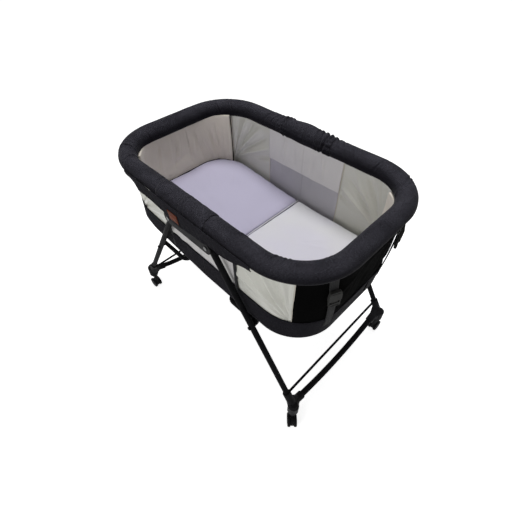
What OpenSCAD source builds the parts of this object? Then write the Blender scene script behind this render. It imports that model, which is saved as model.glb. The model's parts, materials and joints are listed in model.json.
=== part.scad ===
// Bassinet on a folding rocker stand with casters.
// +X is the foot end, +Z is up, the floor is z = 0 and the origin is under the middle of the rail.

/* [Rail] */
// length of the top rail between the centres of its end tubes
rail_l = 877; // [820:1:930]
// width of the top rail between the centres of its side tubes
rail_w = 532; // [500:1:560]
// corner radius of the rail, at the centre of its tube
rail_corner = 160; // [130:1:190]
// height of the rail's centre above the floor
rail_h = 771; // [720:1:820]
// outer radius of the rail's steel tube
rail_tube_r = 9.5; // [8:0.5:12]
// outer radius of the rail's foam padding
pad_r = 31.4; // [25:0.1:36]
// distance of each rail hinge pin from the middle
rail_pin_x = 28; // [24:1:40]
// where the padding starts, from the middle
pad_start = 106; // [95:1:130]

/* [Basket] */
// half the outer length of the fabric basket
basket_hl = 455; // [430:1:470]
// half the outer width of the fabric basket
basket_hw = 249; // [235:0.5:255]
// outer corner radius of the basket
basket_corner = 165; // [120:1:180]
// thickness of a basket wall
wall_t = 3; // [2:0.5:5]
// underside of the basket
basket_z0 = 455; // [440:1:480]
// top edge of the dark band round the base
band_top = 548; // [530:1:580]
// rise of the head half of the base, in degrees
incline = 5.5; // [0:0.5:10]
// distance of each side window's binding from the middle
window_x = 170; // [140:1:200]

/* [Mattress] */
// half the length of the mattress
mattress_hl = 428; // [400:1:440]
// half the width of the mattress
mattress_hw = 232; // [220:0.5:234]
// height of the top of the mattress at the middle fold
mattress_top = 510; // [500:1:540]
// thickness of the mattress
mattress_t = 45; // [30:0.5:60]
// thickness of the board under each half
board_t = 7; // [5:0.5:10]

/* [Stand] */
// distance of each leg pivot from the middle
leg_pin_x = 92; // [80:1:110]
// height of each leg pivot
leg_pin_z = 686; // [660:1:700]
// distance of the leg tubes from the middle plane
leg_y = 272; // [266:0.5:278]
// lean of the legs from upright, in degrees
leg_lean = 33; // [28:0.5:36]
// outer radius of the leg tubes
leg_r = 10; // [8:0.5:12]
// outer radius of the bowed rocker tubes
rocker_r = 11; // [9:0.5:13]
// height of the middle of the rocker tube
rocker_z = 84; // [70:1:100]
// how far the rocker tube bows down over its length
rocker_sag = 44; // [20:1:60]
// distance of the rocker tubes from the middle
rocker_x = 442; // [430:1:450]
// radius of the thin brace rods
rod_r = 4.5; // [3:0.5:6]
// radius of the hoops that carry the base
hoop_r = 8; // [6:0.5:10]
// distance of each hoop's cross tube from the middle
hoop_x = 120; // [100:1:150]
// height of the hoops
hoop_z = 438; // [430:1:442]

/* [Casters] */
// distance of the caster stems from the middle, along the basket
stem_x = 452; // [440:1:460]
// distance of the caster stems from the middle, across the basket
stem_y = 274; // [266:1:282]
// radius of the caster wheels
wheel_r = 25; // [20:1:32]
// width of each wheel of a twin caster
wheel_w = 11; // [8:1:16]
// trail of the wheel axle behind the stem
trail = 12; // [8:1:18]

/* [Hidden] */
$fn = 24;
rail_cx = rail_l / 2 - rail_corner;
rail_cy = rail_w / 2 - rail_corner;
band_t = 2;
wall_top = rail_h - pad_r - 1.1;
leg_dx = sin(leg_lean);
leg_dz = cos(leg_lean);
leg_len = 640;
hoop_arm_y = 252;
hoop_bend = 25;
hoop_end_x = leg_pin_x + (leg_pin_z - hoop_z) * tan(leg_lean);
rocker_c = 240;
rocker_arc = (rocker_c * rocker_c + rocker_sag * rocker_sag) / (2 * rocker_sag);
rocker_end = asin(258 / rocker_arc);
rod_x = 415;
rod_z = 172;
sleeve_r = 33.5;
skirt_y = rail_w / 2 + sleeve_r + 0.4;
skirt_t = 1.6;
hem_right = [[0.6, 711], [40, 717], [110, 726], [180, 731], [225, 742], [262, 753]];
hem_left = [[0.6, 711], [30, 704], [50, 704], [90, 716], [150, 721], [220, 726], [262, 740]];
swivel_near_right = -45;
swivel_near_left = 180;
swivel_far_right = 90;
swivel_far_left = 135;
charcoal = [0.16, 0.17, 0.2];
black = [0.05, 0.05, 0.055];
steel_black = [0.04, 0.04, 0.045];
plastic = [0.06, 0.06, 0.065];
mesh_grey = [0.66, 0.66, 0.64];
satin = [0.74, 0.75, 0.72];
beige = [0.78, 0.75, 0.7];
white = [0.88, 0.88, 0.9];
strap_grey = [0.2, 0.2, 0.2];
leather = [0.34, 0.14, 0.05];

// right half as drawn for s = 1, its mirror image for s = -1
module side(s) {
  mirror([s < 0 ? 1 : 0, 0, 0]) children();
}

// near side as drawn for t = 1, its mirror image across the middle plane for t = -1
module far(t) {
  mirror([0, t < 0 ? 1 : 0, 0]) children();
}

module ring(ro, ri) {
  difference() {
    circle(r = ro);
    circle(r = ri);
  }
}

module rounded(hl, hw, r) {
  $fn = 40;
  for (x = [-1, 1], y = [-1, 1]) translate([x * (hl - r), y * (hw - r)]) circle(r = r);
  square([2 * hl, 2 * (hw - r)], center = true);
  square([2 * (hl - r), 2 * hw], center = true);
}

// sweeps a profile along the right half of the rail's U from x0
module rail_u(x0) {
  for (y = [-1, 1]) translate([x0, y * rail_w / 2, rail_h]) rotate([90, 0, 90])
    linear_extrude(rail_cx - x0) children();
  translate([rail_cx, -rail_cy, rail_h]) rotate([0, 0, -90])
    rotate_extrude(angle = 90, $fn = 48) translate([rail_corner, 0]) children();
  translate([rail_cx, rail_cy, rail_h])
    rotate_extrude(angle = 90, $fn = 48) translate([rail_corner, 0]) children();
  translate([rail_l / 2, -rail_cy, rail_h]) rotate([-90, 0, 0])
    linear_extrude(2 * rail_cy) children();
}

// flat tongue with a pin hole on the near end of the rail tube
module rail_tongue() {
  translate([rail_pin_x, -rail_w / 2 - 4, rail_h]) rotate([-90, 0, 0]) difference() {
    union() {
      cylinder(r = 11, h = 8);
      translate([0, -rail_tube_r, 0]) cube([20, 2 * rail_tube_r, 8]);
    }
    translate([0, 0, -1]) cylinder(r = 4.1, h = 10);
  }
  translate([rail_pin_x + 18, -rail_w / 2, rail_h]) rotate([0, 90, 0]) cylinder(r = rail_tube_r, h = 6);
}

module rail_tube(s) {
  color(steel_black) side(s) {
    rail_u(rail_pin_x + 24) ring(rail_tube_r, rail_tube_r - 1.5);
    rail_tongue();
    far(-1) rail_tongue();
  }
}

module rail_pad(s) {
  color(charcoal) side(s) rail_u(pad_start) ring(pad_r, rail_tube_r + 0.2, $fn = 32);
}

// fabric cover over one hinge lock, open below where the hub's neck comes out
module half_sleeve() {
  difference() {
    translate([0.6, -rail_w / 2, rail_h]) rotate([90, 0, 90]) linear_extrude(pad_start - 1.2)
      ring(sleeve_r, sleeve_r - 3, $fn = 32);
    translate([-1, -rail_w / 2 - 11, rail_h - 40]) cube([30, 22, 22]);
  }
}

module sleeve(s) {
  color(charcoal) side(s) {
    half_sleeve();
    far(-1) half_sleeve();
  }
}

// plate with round ends, in the plane across the basket
module cheek(y, t) {
  translate([0, y, 0]) rotate([90, 0, 0]) linear_extrude(t) children();
}

module upper_cheek() {
  translate([-rail_pin_x, rail_h]) circle(r = 16);
  translate([rail_pin_x, rail_h]) circle(r = 16);
  translate([-rail_pin_x, rail_h - 16]) square([2 * rail_pin_x, 32]);
  translate([-26, 730]) square([52, 40]);
}

module lower_cheek() {
  for (x = [-1, 1]) translate([x * leg_pin_x, leg_pin_z]) circle(r = 21);
  translate([-leg_pin_x, leg_pin_z - 21]) square([2 * leg_pin_x, 42]);
  translate([-58, 700]) square([116, 36]);
}

// hinge lock of one side: rail fork above, leg fork below, button pocket in the middle
module hub(t) {
  color(plastic) far(t) difference() {
    union() {
      cheek(-rail_w / 2 - 4.4, 4) upper_cheek();
      cheek(-rail_w / 2 + 8.4, 4) upper_cheek();
      translate([-14, -rail_w / 2 - 4.5, rail_h - 16]) cube([28, 9, 32]);
      for (x = [-1, 1]) translate([x * (rail_pin_x + 11) - 1.5, -rail_w / 2 - 4.5, rail_h - 13])
        cube([3, 9, 3.2]);
      cheek(-leg_y - 11.5, 4) lower_cheek();
      cheek(-leg_y + 15.5, 4) lower_cheek();
      translate([-58, -leg_y - 12, 690]) cube([116, 24, 46]);
      translate([-75.6, -leg_y - 12, 690]) cube([151.2, 24, 14]);
    }
    for (x = [-1, 1]) translate([x * rail_pin_x, -rail_w / 2 - 12, rail_h]) rotate([-90, 0, 0])
      cylinder(r = 4, h = 24);
    for (x = [-1, 1]) translate([x * leg_pin_x, -leg_y - 20, leg_pin_z]) rotate([-90, 0, 0])
      cylinder(r = 4, h = 40);
    translate([0, -leg_y - 20, 708]) rotate([-90, 0, 0]) cylinder(r = 9.3, h = 24, $fn = 32);
  }
}

module pin(x, y0, z, len) {
  translate([x, y0, z]) rotate([-90, 0, 0]) {
    cylinder(r = 4, h = len);
    translate([0, 0, -2.5]) cylinder(r = 7, h = 2.5);
  }
}

// eight equal hinge pins, four for the rail and four for the legs
module pivot_pins() {
  color(plastic) for (t = [1, -1]) far(t) {
    for (x = [-1, 1]) {
      pin(x * rail_pin_x, -rail_w / 2 - 8.4, rail_h, 16.8);
      pin(x * leg_pin_x, -leg_y - 15.5, leg_pin_z, 31);
    }
  }
}

module button(t) {
  color(strap_grey) far(t) translate([0, -leg_y - 19, 708]) rotate([-90, 0, 0]) {
    cylinder(r = 9, h = 17, $fn = 32);
    translate([0, 0, -1]) cylinder(r = 7.5, h = 1.1, $fn = 32);
  }
}

// piping of the fold in the middle of the mattress
module mattress_seam() {
  color(white) translate([0, -mattress_hw + 2, mattress_top]) rotate([-90, 0, 0])
    cylinder(r = 2, h = 2 * mattress_hw - 4, $fn = 16);
}

module half_plan(hl, hw, r, x0) {
  intersection() {
    rounded(hl, hw, r);
    translate([x0, -400]) square([600, 800]);
  }
}

// raises the head half about the middle fold
module raised(s) {
  translate([0, 0, mattress_top]) rotate([0, s < 0 ? -incline : 0, 0]) translate([0, 0, -mattress_top])
    children();
}

module base_board(s) {
  color(black) side(s) raised(s)
    translate([0, 0, mattress_top - mattress_t - 0.5 - board_t]) linear_extrude(board_t)
      half_plan(mattress_hl - 3, mattress_hw - 1, 150, 2.5);
}

module mattress(s) {
  color(white) side(s) raised(s)
    translate([0, 0, mattress_top - mattress_t]) linear_extrude(mattress_t)
      half_plan(mattress_hl, mattress_hw, 152, 2.5);
}

// everything above the slope of the basket's underside, with a lift d
module above_base(s, d) {
  translate([0, 0, basket_z0 + d]) rotate([0, s < 0 ? -incline : 0, 0]) translate([-60, -350, 0])
    cube([700, 700, 500]);
}

// one half of the basket's wall, from its underside to the rail
module wall_ring(s, x0, x1, y0, y1) {
  intersection() {
    translate([0, 0, basket_z0]) linear_extrude(wall_top - basket_z0) difference() {
      rounded(basket_hl, basket_hw, basket_corner);
      rounded(basket_hl - wall_t, basket_hw - wall_t, basket_corner - wall_t);
    }
    above_base(s, 3);
    translate([x0, y0, 400]) cube([x1 - x0, y1 - y0, 400]);
  }
}

module end_wall(s) {
  color(s > 0 ? black : beige) side(s) wall_ring(s, 385.3, 480, -300, 300);
}

module corner_wall(s, t) {
  color(satin) side(s) far(t) wall_ring(s, window_x + 0.3, 385, -300, 0);
}

module window(s, t) {
  color(mesh_grey) side(s) far(t) wall_ring(s, 0.4, window_x, -300, 0);
}

module band(s) {
  color(charcoal) side(s) intersection() {
    translate([0, 0, basket_z0]) linear_extrude(220) difference() {
      rounded(basket_hl + band_t, basket_hw + band_t, basket_corner + band_t);
      rounded(basket_hl, basket_hw, basket_corner);
    }
    above_base(s, 0);
    translate([0, 0, band_top]) rotate([0, s < 0 ? -0.8 : 0, 0]) translate([-60, -350, -200])
      cube([700, 700, 200]);
    translate([0.4, -300, 400]) cube([500, 600, 400]);
  }
}

// skirt of cloth that hangs from the side of the rail
module valance(s, t) {
  color(charcoal) side(s) far(t) translate([0, -skirt_y, 0]) rotate([90, 0, 0]) linear_extrude(skirt_t)
    polygon(concat([[0.6, 757]], s > 0 ? hem_right : hem_left, [[270, 757]]));
}

module on_corner(t) {
  a = 23.6;
  translate([basket_hl - basket_corner, -t * (basket_hw - basket_corner), 0]) rotate([0, 0, -t * a])
    translate([basket_corner + band_t + 0.3, 0, 0]) children();
}

module straps(s) {
  color(strap_grey) side(s) for (t = [1, -1]) on_corner(t) {
    translate([0, -15, s < 0 ? 560 : 530]) cube([2, 30, s < 0 ? 125 : 155]);
    translate([0, -15, 733]) cube([2, 30, 7]);
  }
}

module buckle() {
  translate([0, -22, 686]) cube([10, 44, 12]);
  translate([0, -19, 697]) cube([10, 38, 26]);
  translate([0, -22, 722]) cube([10, 44, 10]);
}

module buckles(s) {
  color(strap_grey) side(s) for (t = [1, -1]) on_corner(t) buckle();
}

module leather_tag() {
  color(leather) translate([-52, -skirt_y - skirt_t - 1.6, 719]) cube([45, 1.2, 34]);
}

// a point d along the leg from its pivot
module on_leg(d) {
  translate([leg_pin_x + d * leg_dx, -leg_y, leg_pin_z - d * leg_dz]) rotate([0, 180 - leg_lean, 0])
    children();
}

module leg(s, t) {
  color(steel_black) side(s) far(t) difference() {
    on_leg(-14) difference() {
      cylinder(r = leg_r, h = leg_len + 14);
      translate([0, 0, 26]) cylinder(r = leg_r - 1.5, h = leg_len);
    }
    translate([leg_pin_x, -leg_y - 20, leg_pin_z]) rotate([-90, 0, 0]) cylinder(r = 4.1, h = 40);
    translate([hoop_end_x, -leg_y - 20, hoop_z]) rotate([-90, 0, 0]) cylinder(r = 3.05, h = 40);
  }
}

// sweeps a profile along the bow of the rocker between two angles
module rocker_sweep(a0, a1) {
  translate([rocker_x, 0, rocker_z + rocker_arc]) rotate([90, 0, 0]) rotate([0, 90, 0])
    rotate([0, 0, -90 + a0]) rotate_extrude(angle = a1 - a0, $fn = 180) translate([rocker_arc, 0]) children();
}

module rocker_tube(s) {
  color(steel_black) side(s) rocker_sweep(-rocker_end, rocker_end) ring(rocker_r, rocker_r - 1.5);
}

module brace_rod(s) {
  color(steel_black) side(s) translate([rod_x, -262, rod_z]) rotate([-90, 0, 0]) cylinder(r = rod_r, h = 524);
}

// plastic corner that joins leg, rocker and brace rod and holds the caster's stem
module bracket(s, t) {
  color(plastic) side(s) far(t) difference() {
    union() {
      translate([stem_x, -stem_y, 98]) cylinder(r = 20, h = 46, $fn = 32);
      translate([stem_x, -stem_y, 144]) cylinder(r1 = 20, r2 = 13, h = 9, $fn = 32);
      on_leg(592) cylinder(r = 14.5, h = 58, $fn = 32);
      rocker_sweep(-rocker_end - 0.8, -rocker_end + 3.6) circle(r = 15, $fn = 32);
      hull() {
        translate([stem_x, -stem_y, 102]) cylinder(r = 16, h = 34, $fn = 24);
        translate([430, -leg_y, 162]) sphere(r = 12, $fn = 20);
        translate([rocker_x, -238, 128]) sphere(r = 11, $fn = 20);
      }
    }
    translate([stem_x, -stem_y, 90]) cylinder(r = 5.6, h = 49);
    on_leg(500) cylinder(r = leg_r + 0.05, h = leg_len - 499.8);
    rocker_sweep(-rocker_end - 0.05, 0) circle(r = rocker_r + 0.05);
    translate([rod_x, -262.1, rod_z]) rotate([-90, 0, 0]) cylinder(r = rod_r + 0.05, h = 60);
  }
}

// U-shaped hoop that runs under the base from leg to leg, with its two bolts
module hoop(s) {
  color(steel_black) side(s) {
    for (t = [1, -1]) far(t) {
      translate([hoop_x + hoop_bend, -hoop_arm_y, hoop_z]) rotate([0, 90, 0])
        cylinder(r = hoop_r, h = hoop_end_x + 4 - hoop_x - hoop_bend);
      translate([hoop_x + hoop_bend, -hoop_arm_y + hoop_bend, hoop_z]) rotate([0, 0, 180])
        rotate_extrude(angle = 90) translate([hoop_bend, 0]) circle(r = hoop_r);
      translate([hoop_end_x, -leg_y - 14, hoop_z]) rotate([-90, 0, 0]) cylinder(r = 3, h = 26);
      translate([hoop_end_x, -leg_y - 14, hoop_z]) rotate([-90, 0, 0]) cylinder(r = 6, h = 3.8);
      translate([hoop_end_x, -leg_y + 10.2, hoop_z]) rotate([-90, 0, 0]) cylinder(r = 7, h = 9.8);
    }
    translate([hoop_x, -hoop_arm_y + hoop_bend, hoop_z]) rotate([-90, 0, 0])
      cylinder(r = hoop_r, h = 2 * (hoop_arm_y - hoop_bend));
  }
}

module at_stem(s, t, a) {
  translate([s * stem_x, -t * stem_y, 0]) rotate([0, 0, a]) children();
}

// caster housing with its stem, between two wheels
module caster(s, t, a) {
  color(plastic) at_stem(s, t, a) difference() {
    union() {
      translate([trail, 5.5, wheel_r]) rotate([90, 0, 0]) cylinder(r = 21, h = 11, $fn = 32);
      translate([0, 0, 26]) cylinder(r = 8.5, h = 60);
      translate([0, 0, 84]) cylinder(r = 13, h = 13.6, $fn = 32);
      translate([0, 0, 90]) cylinder(r = 5.5, h = 46);
    }
    translate([trail, 10, wheel_r]) rotate([90, 0, 0]) cylinder(r = 3.1, h = 20);
    for (y = [-1, 1]) translate([trail, y * 10.5 + 5, wheel_r]) rotate([90, 0, 0])
      cylinder(r = wheel_r + 1.5, h = 10, $fn = 32);
  }
}

// half section of a wheel between z = a and z = b, with a dished outer face round its boss
module wheel_section(a, b) {
  polygon([[0, a], [wheel_r - 2.5, a], [wheel_r, a + 2], [wheel_r, b - 2], [wheel_r - 2.5, b],
    [wheel_r - 7, b], [wheel_r - 8.5, b - 2], [8, b - 2], [6.5, b], [0, b]]);
}

// two wheels pressed on one axle
module wheels(s, t, a) {
  color(black) at_stem(s, t, a) translate([trail, 0, wheel_r]) rotate([90, 0, 0]) {
    translate([0, 0, -7]) cylinder(r = 3, h = 14);
    for (m = [0, 1]) mirror([0, 0, m]) rotate_extrude($fn = 40) wheel_section(6.4, 6.4 + wheel_w);
  }
}

hub(1);  // hub_near
hub(-1);  // hub_far
pivot_pins();
mattress_seam();
sleeve(-1);  // sleeve_left
sleeve(1);  // sleeve_right
button(1);  // button_near
button(-1);  // button_far
rail_tube(-1);  // rail_tube_left
rail_pad(-1);  // rail_pad_left
end_wall(-1);  // end_wall_left
corner_wall(-1, 1);  // corner_wall_near_left
corner_wall(-1, -1);  // corner_wall_far_left
window(-1, 1);  // window_near_left
window(-1, -1);  // window_far_left
band(-1);  // band_left
valance(-1, 1);  // valance_near_left
valance(-1, -1);  // valance_far_left
straps(-1);  // straps_left
buckles(-1);  // buckles_left
leather_tag();
rail_tube(1);  // rail_tube_right
rail_pad(1);  // rail_pad_right
end_wall(1);  // end_wall_right
corner_wall(1, 1);  // corner_wall_near_right
corner_wall(1, -1);  // corner_wall_far_right
window(1, 1);  // window_near_right
window(1, -1);  // window_far_right
band(1);  // band_right
valance(1, 1);  // valance_near_right
valance(1, -1);  // valance_far_right
straps(1);  // straps_right
buckles(1);  // buckles_right
base_board(-1);  // base_board_left
mattress(-1);  // mattress_left
base_board(1);  // base_board_right
mattress(1);  // mattress_right
leg(-1, 1);  // leg_near_left
leg(-1, -1);  // leg_far_left
bracket(-1, 1);  // bracket_near_left
bracket(-1, -1);  // bracket_far_left
rocker_tube(-1);  // rocker_tube_left
brace_rod(-1);  // brace_rod_left
hoop(-1);  // hoop_left
leg(1, 1);  // leg_near_right
leg(1, -1);  // leg_far_right
bracket(1, 1);  // bracket_near_right
bracket(1, -1);  // bracket_far_right
rocker_tube(1);  // rocker_tube_right
brace_rod(1);  // brace_rod_right
hoop(1);  // hoop_right
caster(-1, 1, swivel_near_left);  // caster_near_left
wheels(-1, 1, swivel_near_left);  // wheels_near_left
caster(-1, -1, swivel_far_left);  // caster_far_left
wheels(-1, -1, swivel_far_left);  // wheels_far_left
caster(1, 1, swivel_near_right);  // caster_near_right
wheels(1, 1, swivel_near_right);  // wheels_near_right
caster(1, -1, swivel_far_right);  // caster_far_right
wheels(1, -1, swivel_far_right);  // wheels_far_right
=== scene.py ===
"""A padded fabric bassinet on a folding rocker stand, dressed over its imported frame."""

import json
import math

import bmesh
import bpy
import numpy as np
from mathutils import Matrix, Vector


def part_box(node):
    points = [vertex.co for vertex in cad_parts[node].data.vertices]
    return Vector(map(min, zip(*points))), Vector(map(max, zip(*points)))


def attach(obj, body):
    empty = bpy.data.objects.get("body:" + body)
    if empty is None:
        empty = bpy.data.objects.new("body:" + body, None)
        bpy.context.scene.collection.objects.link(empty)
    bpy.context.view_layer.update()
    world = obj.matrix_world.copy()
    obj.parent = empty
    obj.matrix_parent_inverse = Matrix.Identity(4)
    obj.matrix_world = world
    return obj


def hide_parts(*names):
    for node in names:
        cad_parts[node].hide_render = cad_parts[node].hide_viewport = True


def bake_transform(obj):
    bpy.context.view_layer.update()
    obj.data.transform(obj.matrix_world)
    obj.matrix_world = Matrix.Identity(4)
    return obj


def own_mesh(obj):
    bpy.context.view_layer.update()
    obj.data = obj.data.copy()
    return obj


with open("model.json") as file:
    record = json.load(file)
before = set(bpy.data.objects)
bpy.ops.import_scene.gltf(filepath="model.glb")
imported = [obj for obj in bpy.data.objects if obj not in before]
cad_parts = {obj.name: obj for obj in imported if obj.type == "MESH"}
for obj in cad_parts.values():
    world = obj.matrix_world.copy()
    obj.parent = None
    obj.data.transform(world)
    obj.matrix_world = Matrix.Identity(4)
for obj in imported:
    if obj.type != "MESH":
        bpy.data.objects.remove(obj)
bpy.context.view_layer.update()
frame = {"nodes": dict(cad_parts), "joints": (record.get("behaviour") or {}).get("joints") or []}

bl_info = {
    "name": "Bassinet on a folding stand",
    "version": (1, 0, 0),
    "blender": (4, 5, 0),
    "location": "View3D > Sidebar > Bassinet",
    "description": "Dresses a bassinet's frame with its covers, walls, mattress and finishes",
    "category": "Object",
}

# ------------------------------------------------------------------ places read from the frame

def rest_angle(name):
    """Lower limit of a hinge, in degrees."""
    return next(j["range_deg"][0] for j in frame["joints"] if j["name"] == name)


PAD_LOW, PAD_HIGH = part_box("rail_pad_right")
PAD_R = (PAD_HIGH.z - PAD_LOW.z) / 2
RAIL_Z = (PAD_HIGH.z + PAD_LOW.z) / 2
RAIL_HW = PAD_HIGH.y - PAD_R
RAIL_HL = PAD_HIGH.x - PAD_R
PAD_START = PAD_LOW.x
RAIL_CORNER = 0.160
WALL_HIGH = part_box("end_wall_right")[1]
BAND_LOW, BAND_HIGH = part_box("band_right")
BASKET_HW = -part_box("corner_wall_near_right")[0].y
BASE_Z = BAND_LOW.z
BAND_TOP = BAND_HIGH.z
# half length and corner radius of the basket under the rail, and at its underside at each end
UNDER_RAIL = (WALL_HIGH.x, 0.172)
UNDERSIDE = {1: (0.4285, 0.146), -1: (0.4645, 0.120)}
WINDOW_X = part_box("window_near_right")[1].x
# distance of an end's seams from the middle, at the foot and at the top of the wall
END_SEAM = {1: (0.366, 0.371), -1: (0.388, 0.370)}
MATTRESS_TOP = (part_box("mattress_seam")[0].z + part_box("mattress_seam")[1].z) / 2
MATTRESS_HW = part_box("mattress_right")[1].y
MATTRESS_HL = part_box("mattress_right")[1].x
# how much longer each half of the mattress is than in the frame, to meet the tapered wall
END_GAP = {1: -0.014, -1: 0.011}
SLOPE = math.tan(math.radians(-rest_angle("base_fold_left")))
# distance of the skirts from the middle, just clear of the rail's cover, and height of the walls' top
SKIRT_Y = RAIL_HW + PAD_R + 0.0022
WALL_TOP = RAIL_Z - 0.0190

HALVES = (("left", -1), ("right", 1))
SIDES = (("near", -1), ("far", 1))
SMALL = 1e-9


# ------------------------------------------------------------------ settings

def srgb(r, g, b):
    """Linear colour from the usual 0 to 255 values."""
    return tuple(c / 12.92 if c <= 0.04045 else ((c + 0.055) / 1.055) ** 2.4
                 for c in (r / 255, g / 255, b / 255))


def colour(name, words, value):
    return bpy.props.FloatVectorProperty(name=name, description=words, subtype="COLOR", size=3,
                                         min=0.0, max=1.0, default=value)


def length(name, words, value):
    return bpy.props.FloatProperty(name=name, description=words, default=value, min=0.0,
                                   unit="LENGTH", precision=4)


class BassinetFabrics(bpy.types.PropertyGroup):
    rail: colour("Rail cover", "Darker thread of the melange cover on the rail", srgb(17, 16, 20))
    rail_light: colour("Rail fleck", "Lighter thread of the melange cover", srgb(112, 111, 122))
    black: colour("End panel", "Woven cloth on the outside of the ends", srgb(12, 12, 12))
    lining: colour("Lining", "Soft cloth inside the ends", srgb(224, 217, 205))
    flap: colour("Window flap", "Soft cloth of the flap over each window", srgb(222, 220, 219))
    satin: colour("Corner", "Satin-faced cloth of the corners", srgb(214, 214, 205))
    mesh: colour("Mesh", "Breathable net of the side windows", srgb(208, 206, 212))
    # painted light: the head half's cover is given a darker lilac colour, painted shade and painted lilac
    # light on the raised half
    sheet_left: colour("Mattress, head", "Cover of the raised half", srgb(196, 192, 214))
    sheet_right: colour("Mattress, foot", "Cover of the level half", srgb(225, 225, 228))
    webbing: colour("Webbing", "Straps on the ends", srgb(46, 46, 47))
    leather: colour("Leather", "Plain tag on the skirt", srgb(104, 44, 9))


class BassinetSizes(bpy.types.PropertyGroup):
    cloth: length("Cloth thickness", "Thickness of a single layer of cloth", 0.0012)
    lining: length("Lining thickness", "Thickness of the padded lining of the ends", 0.009)
    weave: length("Thread pitch", "Distance between two threads of the woven cloths", 0.0011)
    stitch: length("Stitch length", "Length of one stitch", 0.0034)
    gap: length("Stitch gap", "Space between two stitches", 0.0016)
    welt: length("Welt radius", "Radius of the piped edges of the walls and the band", 0.0012)


class BassinetStage(bpy.types.PropertyGroup):
    floor: colour("Floor", "Colour of the plain floor", (0.86, 0.86, 0.86))
    radius: length("Floor radius", "Half the width of the floor", 9.0)
    key: bpy.props.FloatProperty(name="Key light", description="Power of the large lamp above",
                                 default=40.0, min=0.0, unit="POWER")
    fill: bpy.props.FloatProperty(name="Fill light", description="Power of the lamp in front",
                                  default=19.0, min=0.0, unit="POWER")
    lens: bpy.props.FloatProperty(name="Lens", description="Focal length of the camera",
                                  default=23.76, min=1.0, unit="CAMERA")


def fabrics():
    return bpy.context.scene.bassinet_fabrics


def sizes():
    return bpy.context.scene.bassinet_sizes


# ------------------------------------------------------------------ materials

# radians that a wave texture of scale 1 turns in a metre
WAVE_RATE = 20


class Finish:
    """A node material built by short calls."""

    def __init__(self, name, roughness, ior=1.5, **sockets):
        self.material = bpy.data.materials.new(name)
        self.material.use_nodes = True
        self.tree = self.material.node_tree
        self.bsdf = self.tree.nodes["Principled BSDF"]
        self.bsdf.inputs["Roughness"].default_value = roughness
        self.bsdf.inputs["IOR"].default_value = ior
        for key, value in sockets.items():
            self.bsdf.inputs[key.replace("_", " ").title()].default_value = value

    def node(self, kind, values=(), **attributes):
        n = self.tree.nodes.new(kind)
        for key, value in attributes.items():
            setattr(n, key, value)
        for key, value in dict(values).items():
            if isinstance(value, bpy.types.NodeSocket):
                self.tree.links.new(value, n.inputs[key])
            else:
                n.inputs[key].default_value = value
        return n

    def to(self, socket, output):
        self.tree.links.new(output, self.bsdf.inputs[socket])

    def done(self, tint, normal, roughness=None):
        """Gives the finish its colour and relief, and its roughness if that varies."""
        self.to("Base Color", tint)
        self.to("Normal", normal)
        if roughness is not None:
            self.to("Roughness", roughness)
        return self.material

    def place(self, scale, uv=True):
        """Coordinates along the cloth in metres, or on the piece, times scale."""
        if uv:
            source = self.node("ShaderNodeUVMap", uv_map="weave").outputs["UV"]
        else:
            source = self.node("ShaderNodeTexCoord").outputs["Object"]
        return self.node("ShaderNodeMapping", {"Vector": source, "Scale": scale}).outputs["Vector"]

    def noise(self, vector, scale, detail, rough=0.5):
        values = {"Vector": vector, "Scale": scale, "Detail": detail, "Roughness": rough}
        return self.node("ShaderNodeTexNoise", values).outputs["Fac"]

    def wave(self, vector, scale, direction):
        return self.node("ShaderNodeTexWave", {"Vector": vector, "Scale": scale},
                         wave_type="BANDS", bands_direction=direction,
                         wave_profile="SIN").outputs["Fac"]

    def math(self, operation, a, b):
        return self.node("ShaderNodeMath", {0: a, 1: b}, operation=operation).outputs[0]

    def span(self, value, low, high, to_low=0.0, to_high=1.0):
        values = {"Value": value, "From Min": low, "From Max": high, "To Min": to_low, "To Max": to_high}
        return self.node("ShaderNodeMapRange", values).outputs["Result"]

    def mix(self, factor, a, b):
        n = self.node("ShaderNodeMix", {0: factor}, data_type="RGBA")
        for index, value in ((6, a), (7, b)):
            if isinstance(value, bpy.types.NodeSocket):
                self.tree.links.new(value, n.inputs[index])
            else:
                n.inputs[index].default_value = (*value, 1.0)
        return n.outputs[2]

    def bump(self, height, distance, strength, normal=None):
        values = {"Height": height, "Distance": distance, "Strength": strength}
        if normal is not None:
            values["Normal"] = normal
        return self.node("ShaderNodeBump", values).outputs["Normal"]


def shade(c, k):
    """A colour k times as bright."""
    return tuple(min(1.0, v * k) for v in c)


def wave_scale(width):
    """Scale of a wave texture whose light and dark bands are each this wide, in metres."""
    return math.pi / (width * WAVE_RATE)


def threads(f, pitch):
    """Height of a plain weave: warp and weft threads that pass over each other."""
    vector = f.place((1, 1, 1))
    warp = f.wave(vector, wave_scale(pitch), "X")
    weft = f.wave(vector, wave_scale(pitch), "Y")
    return f.math("MULTIPLY", warp, weft)


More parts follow.
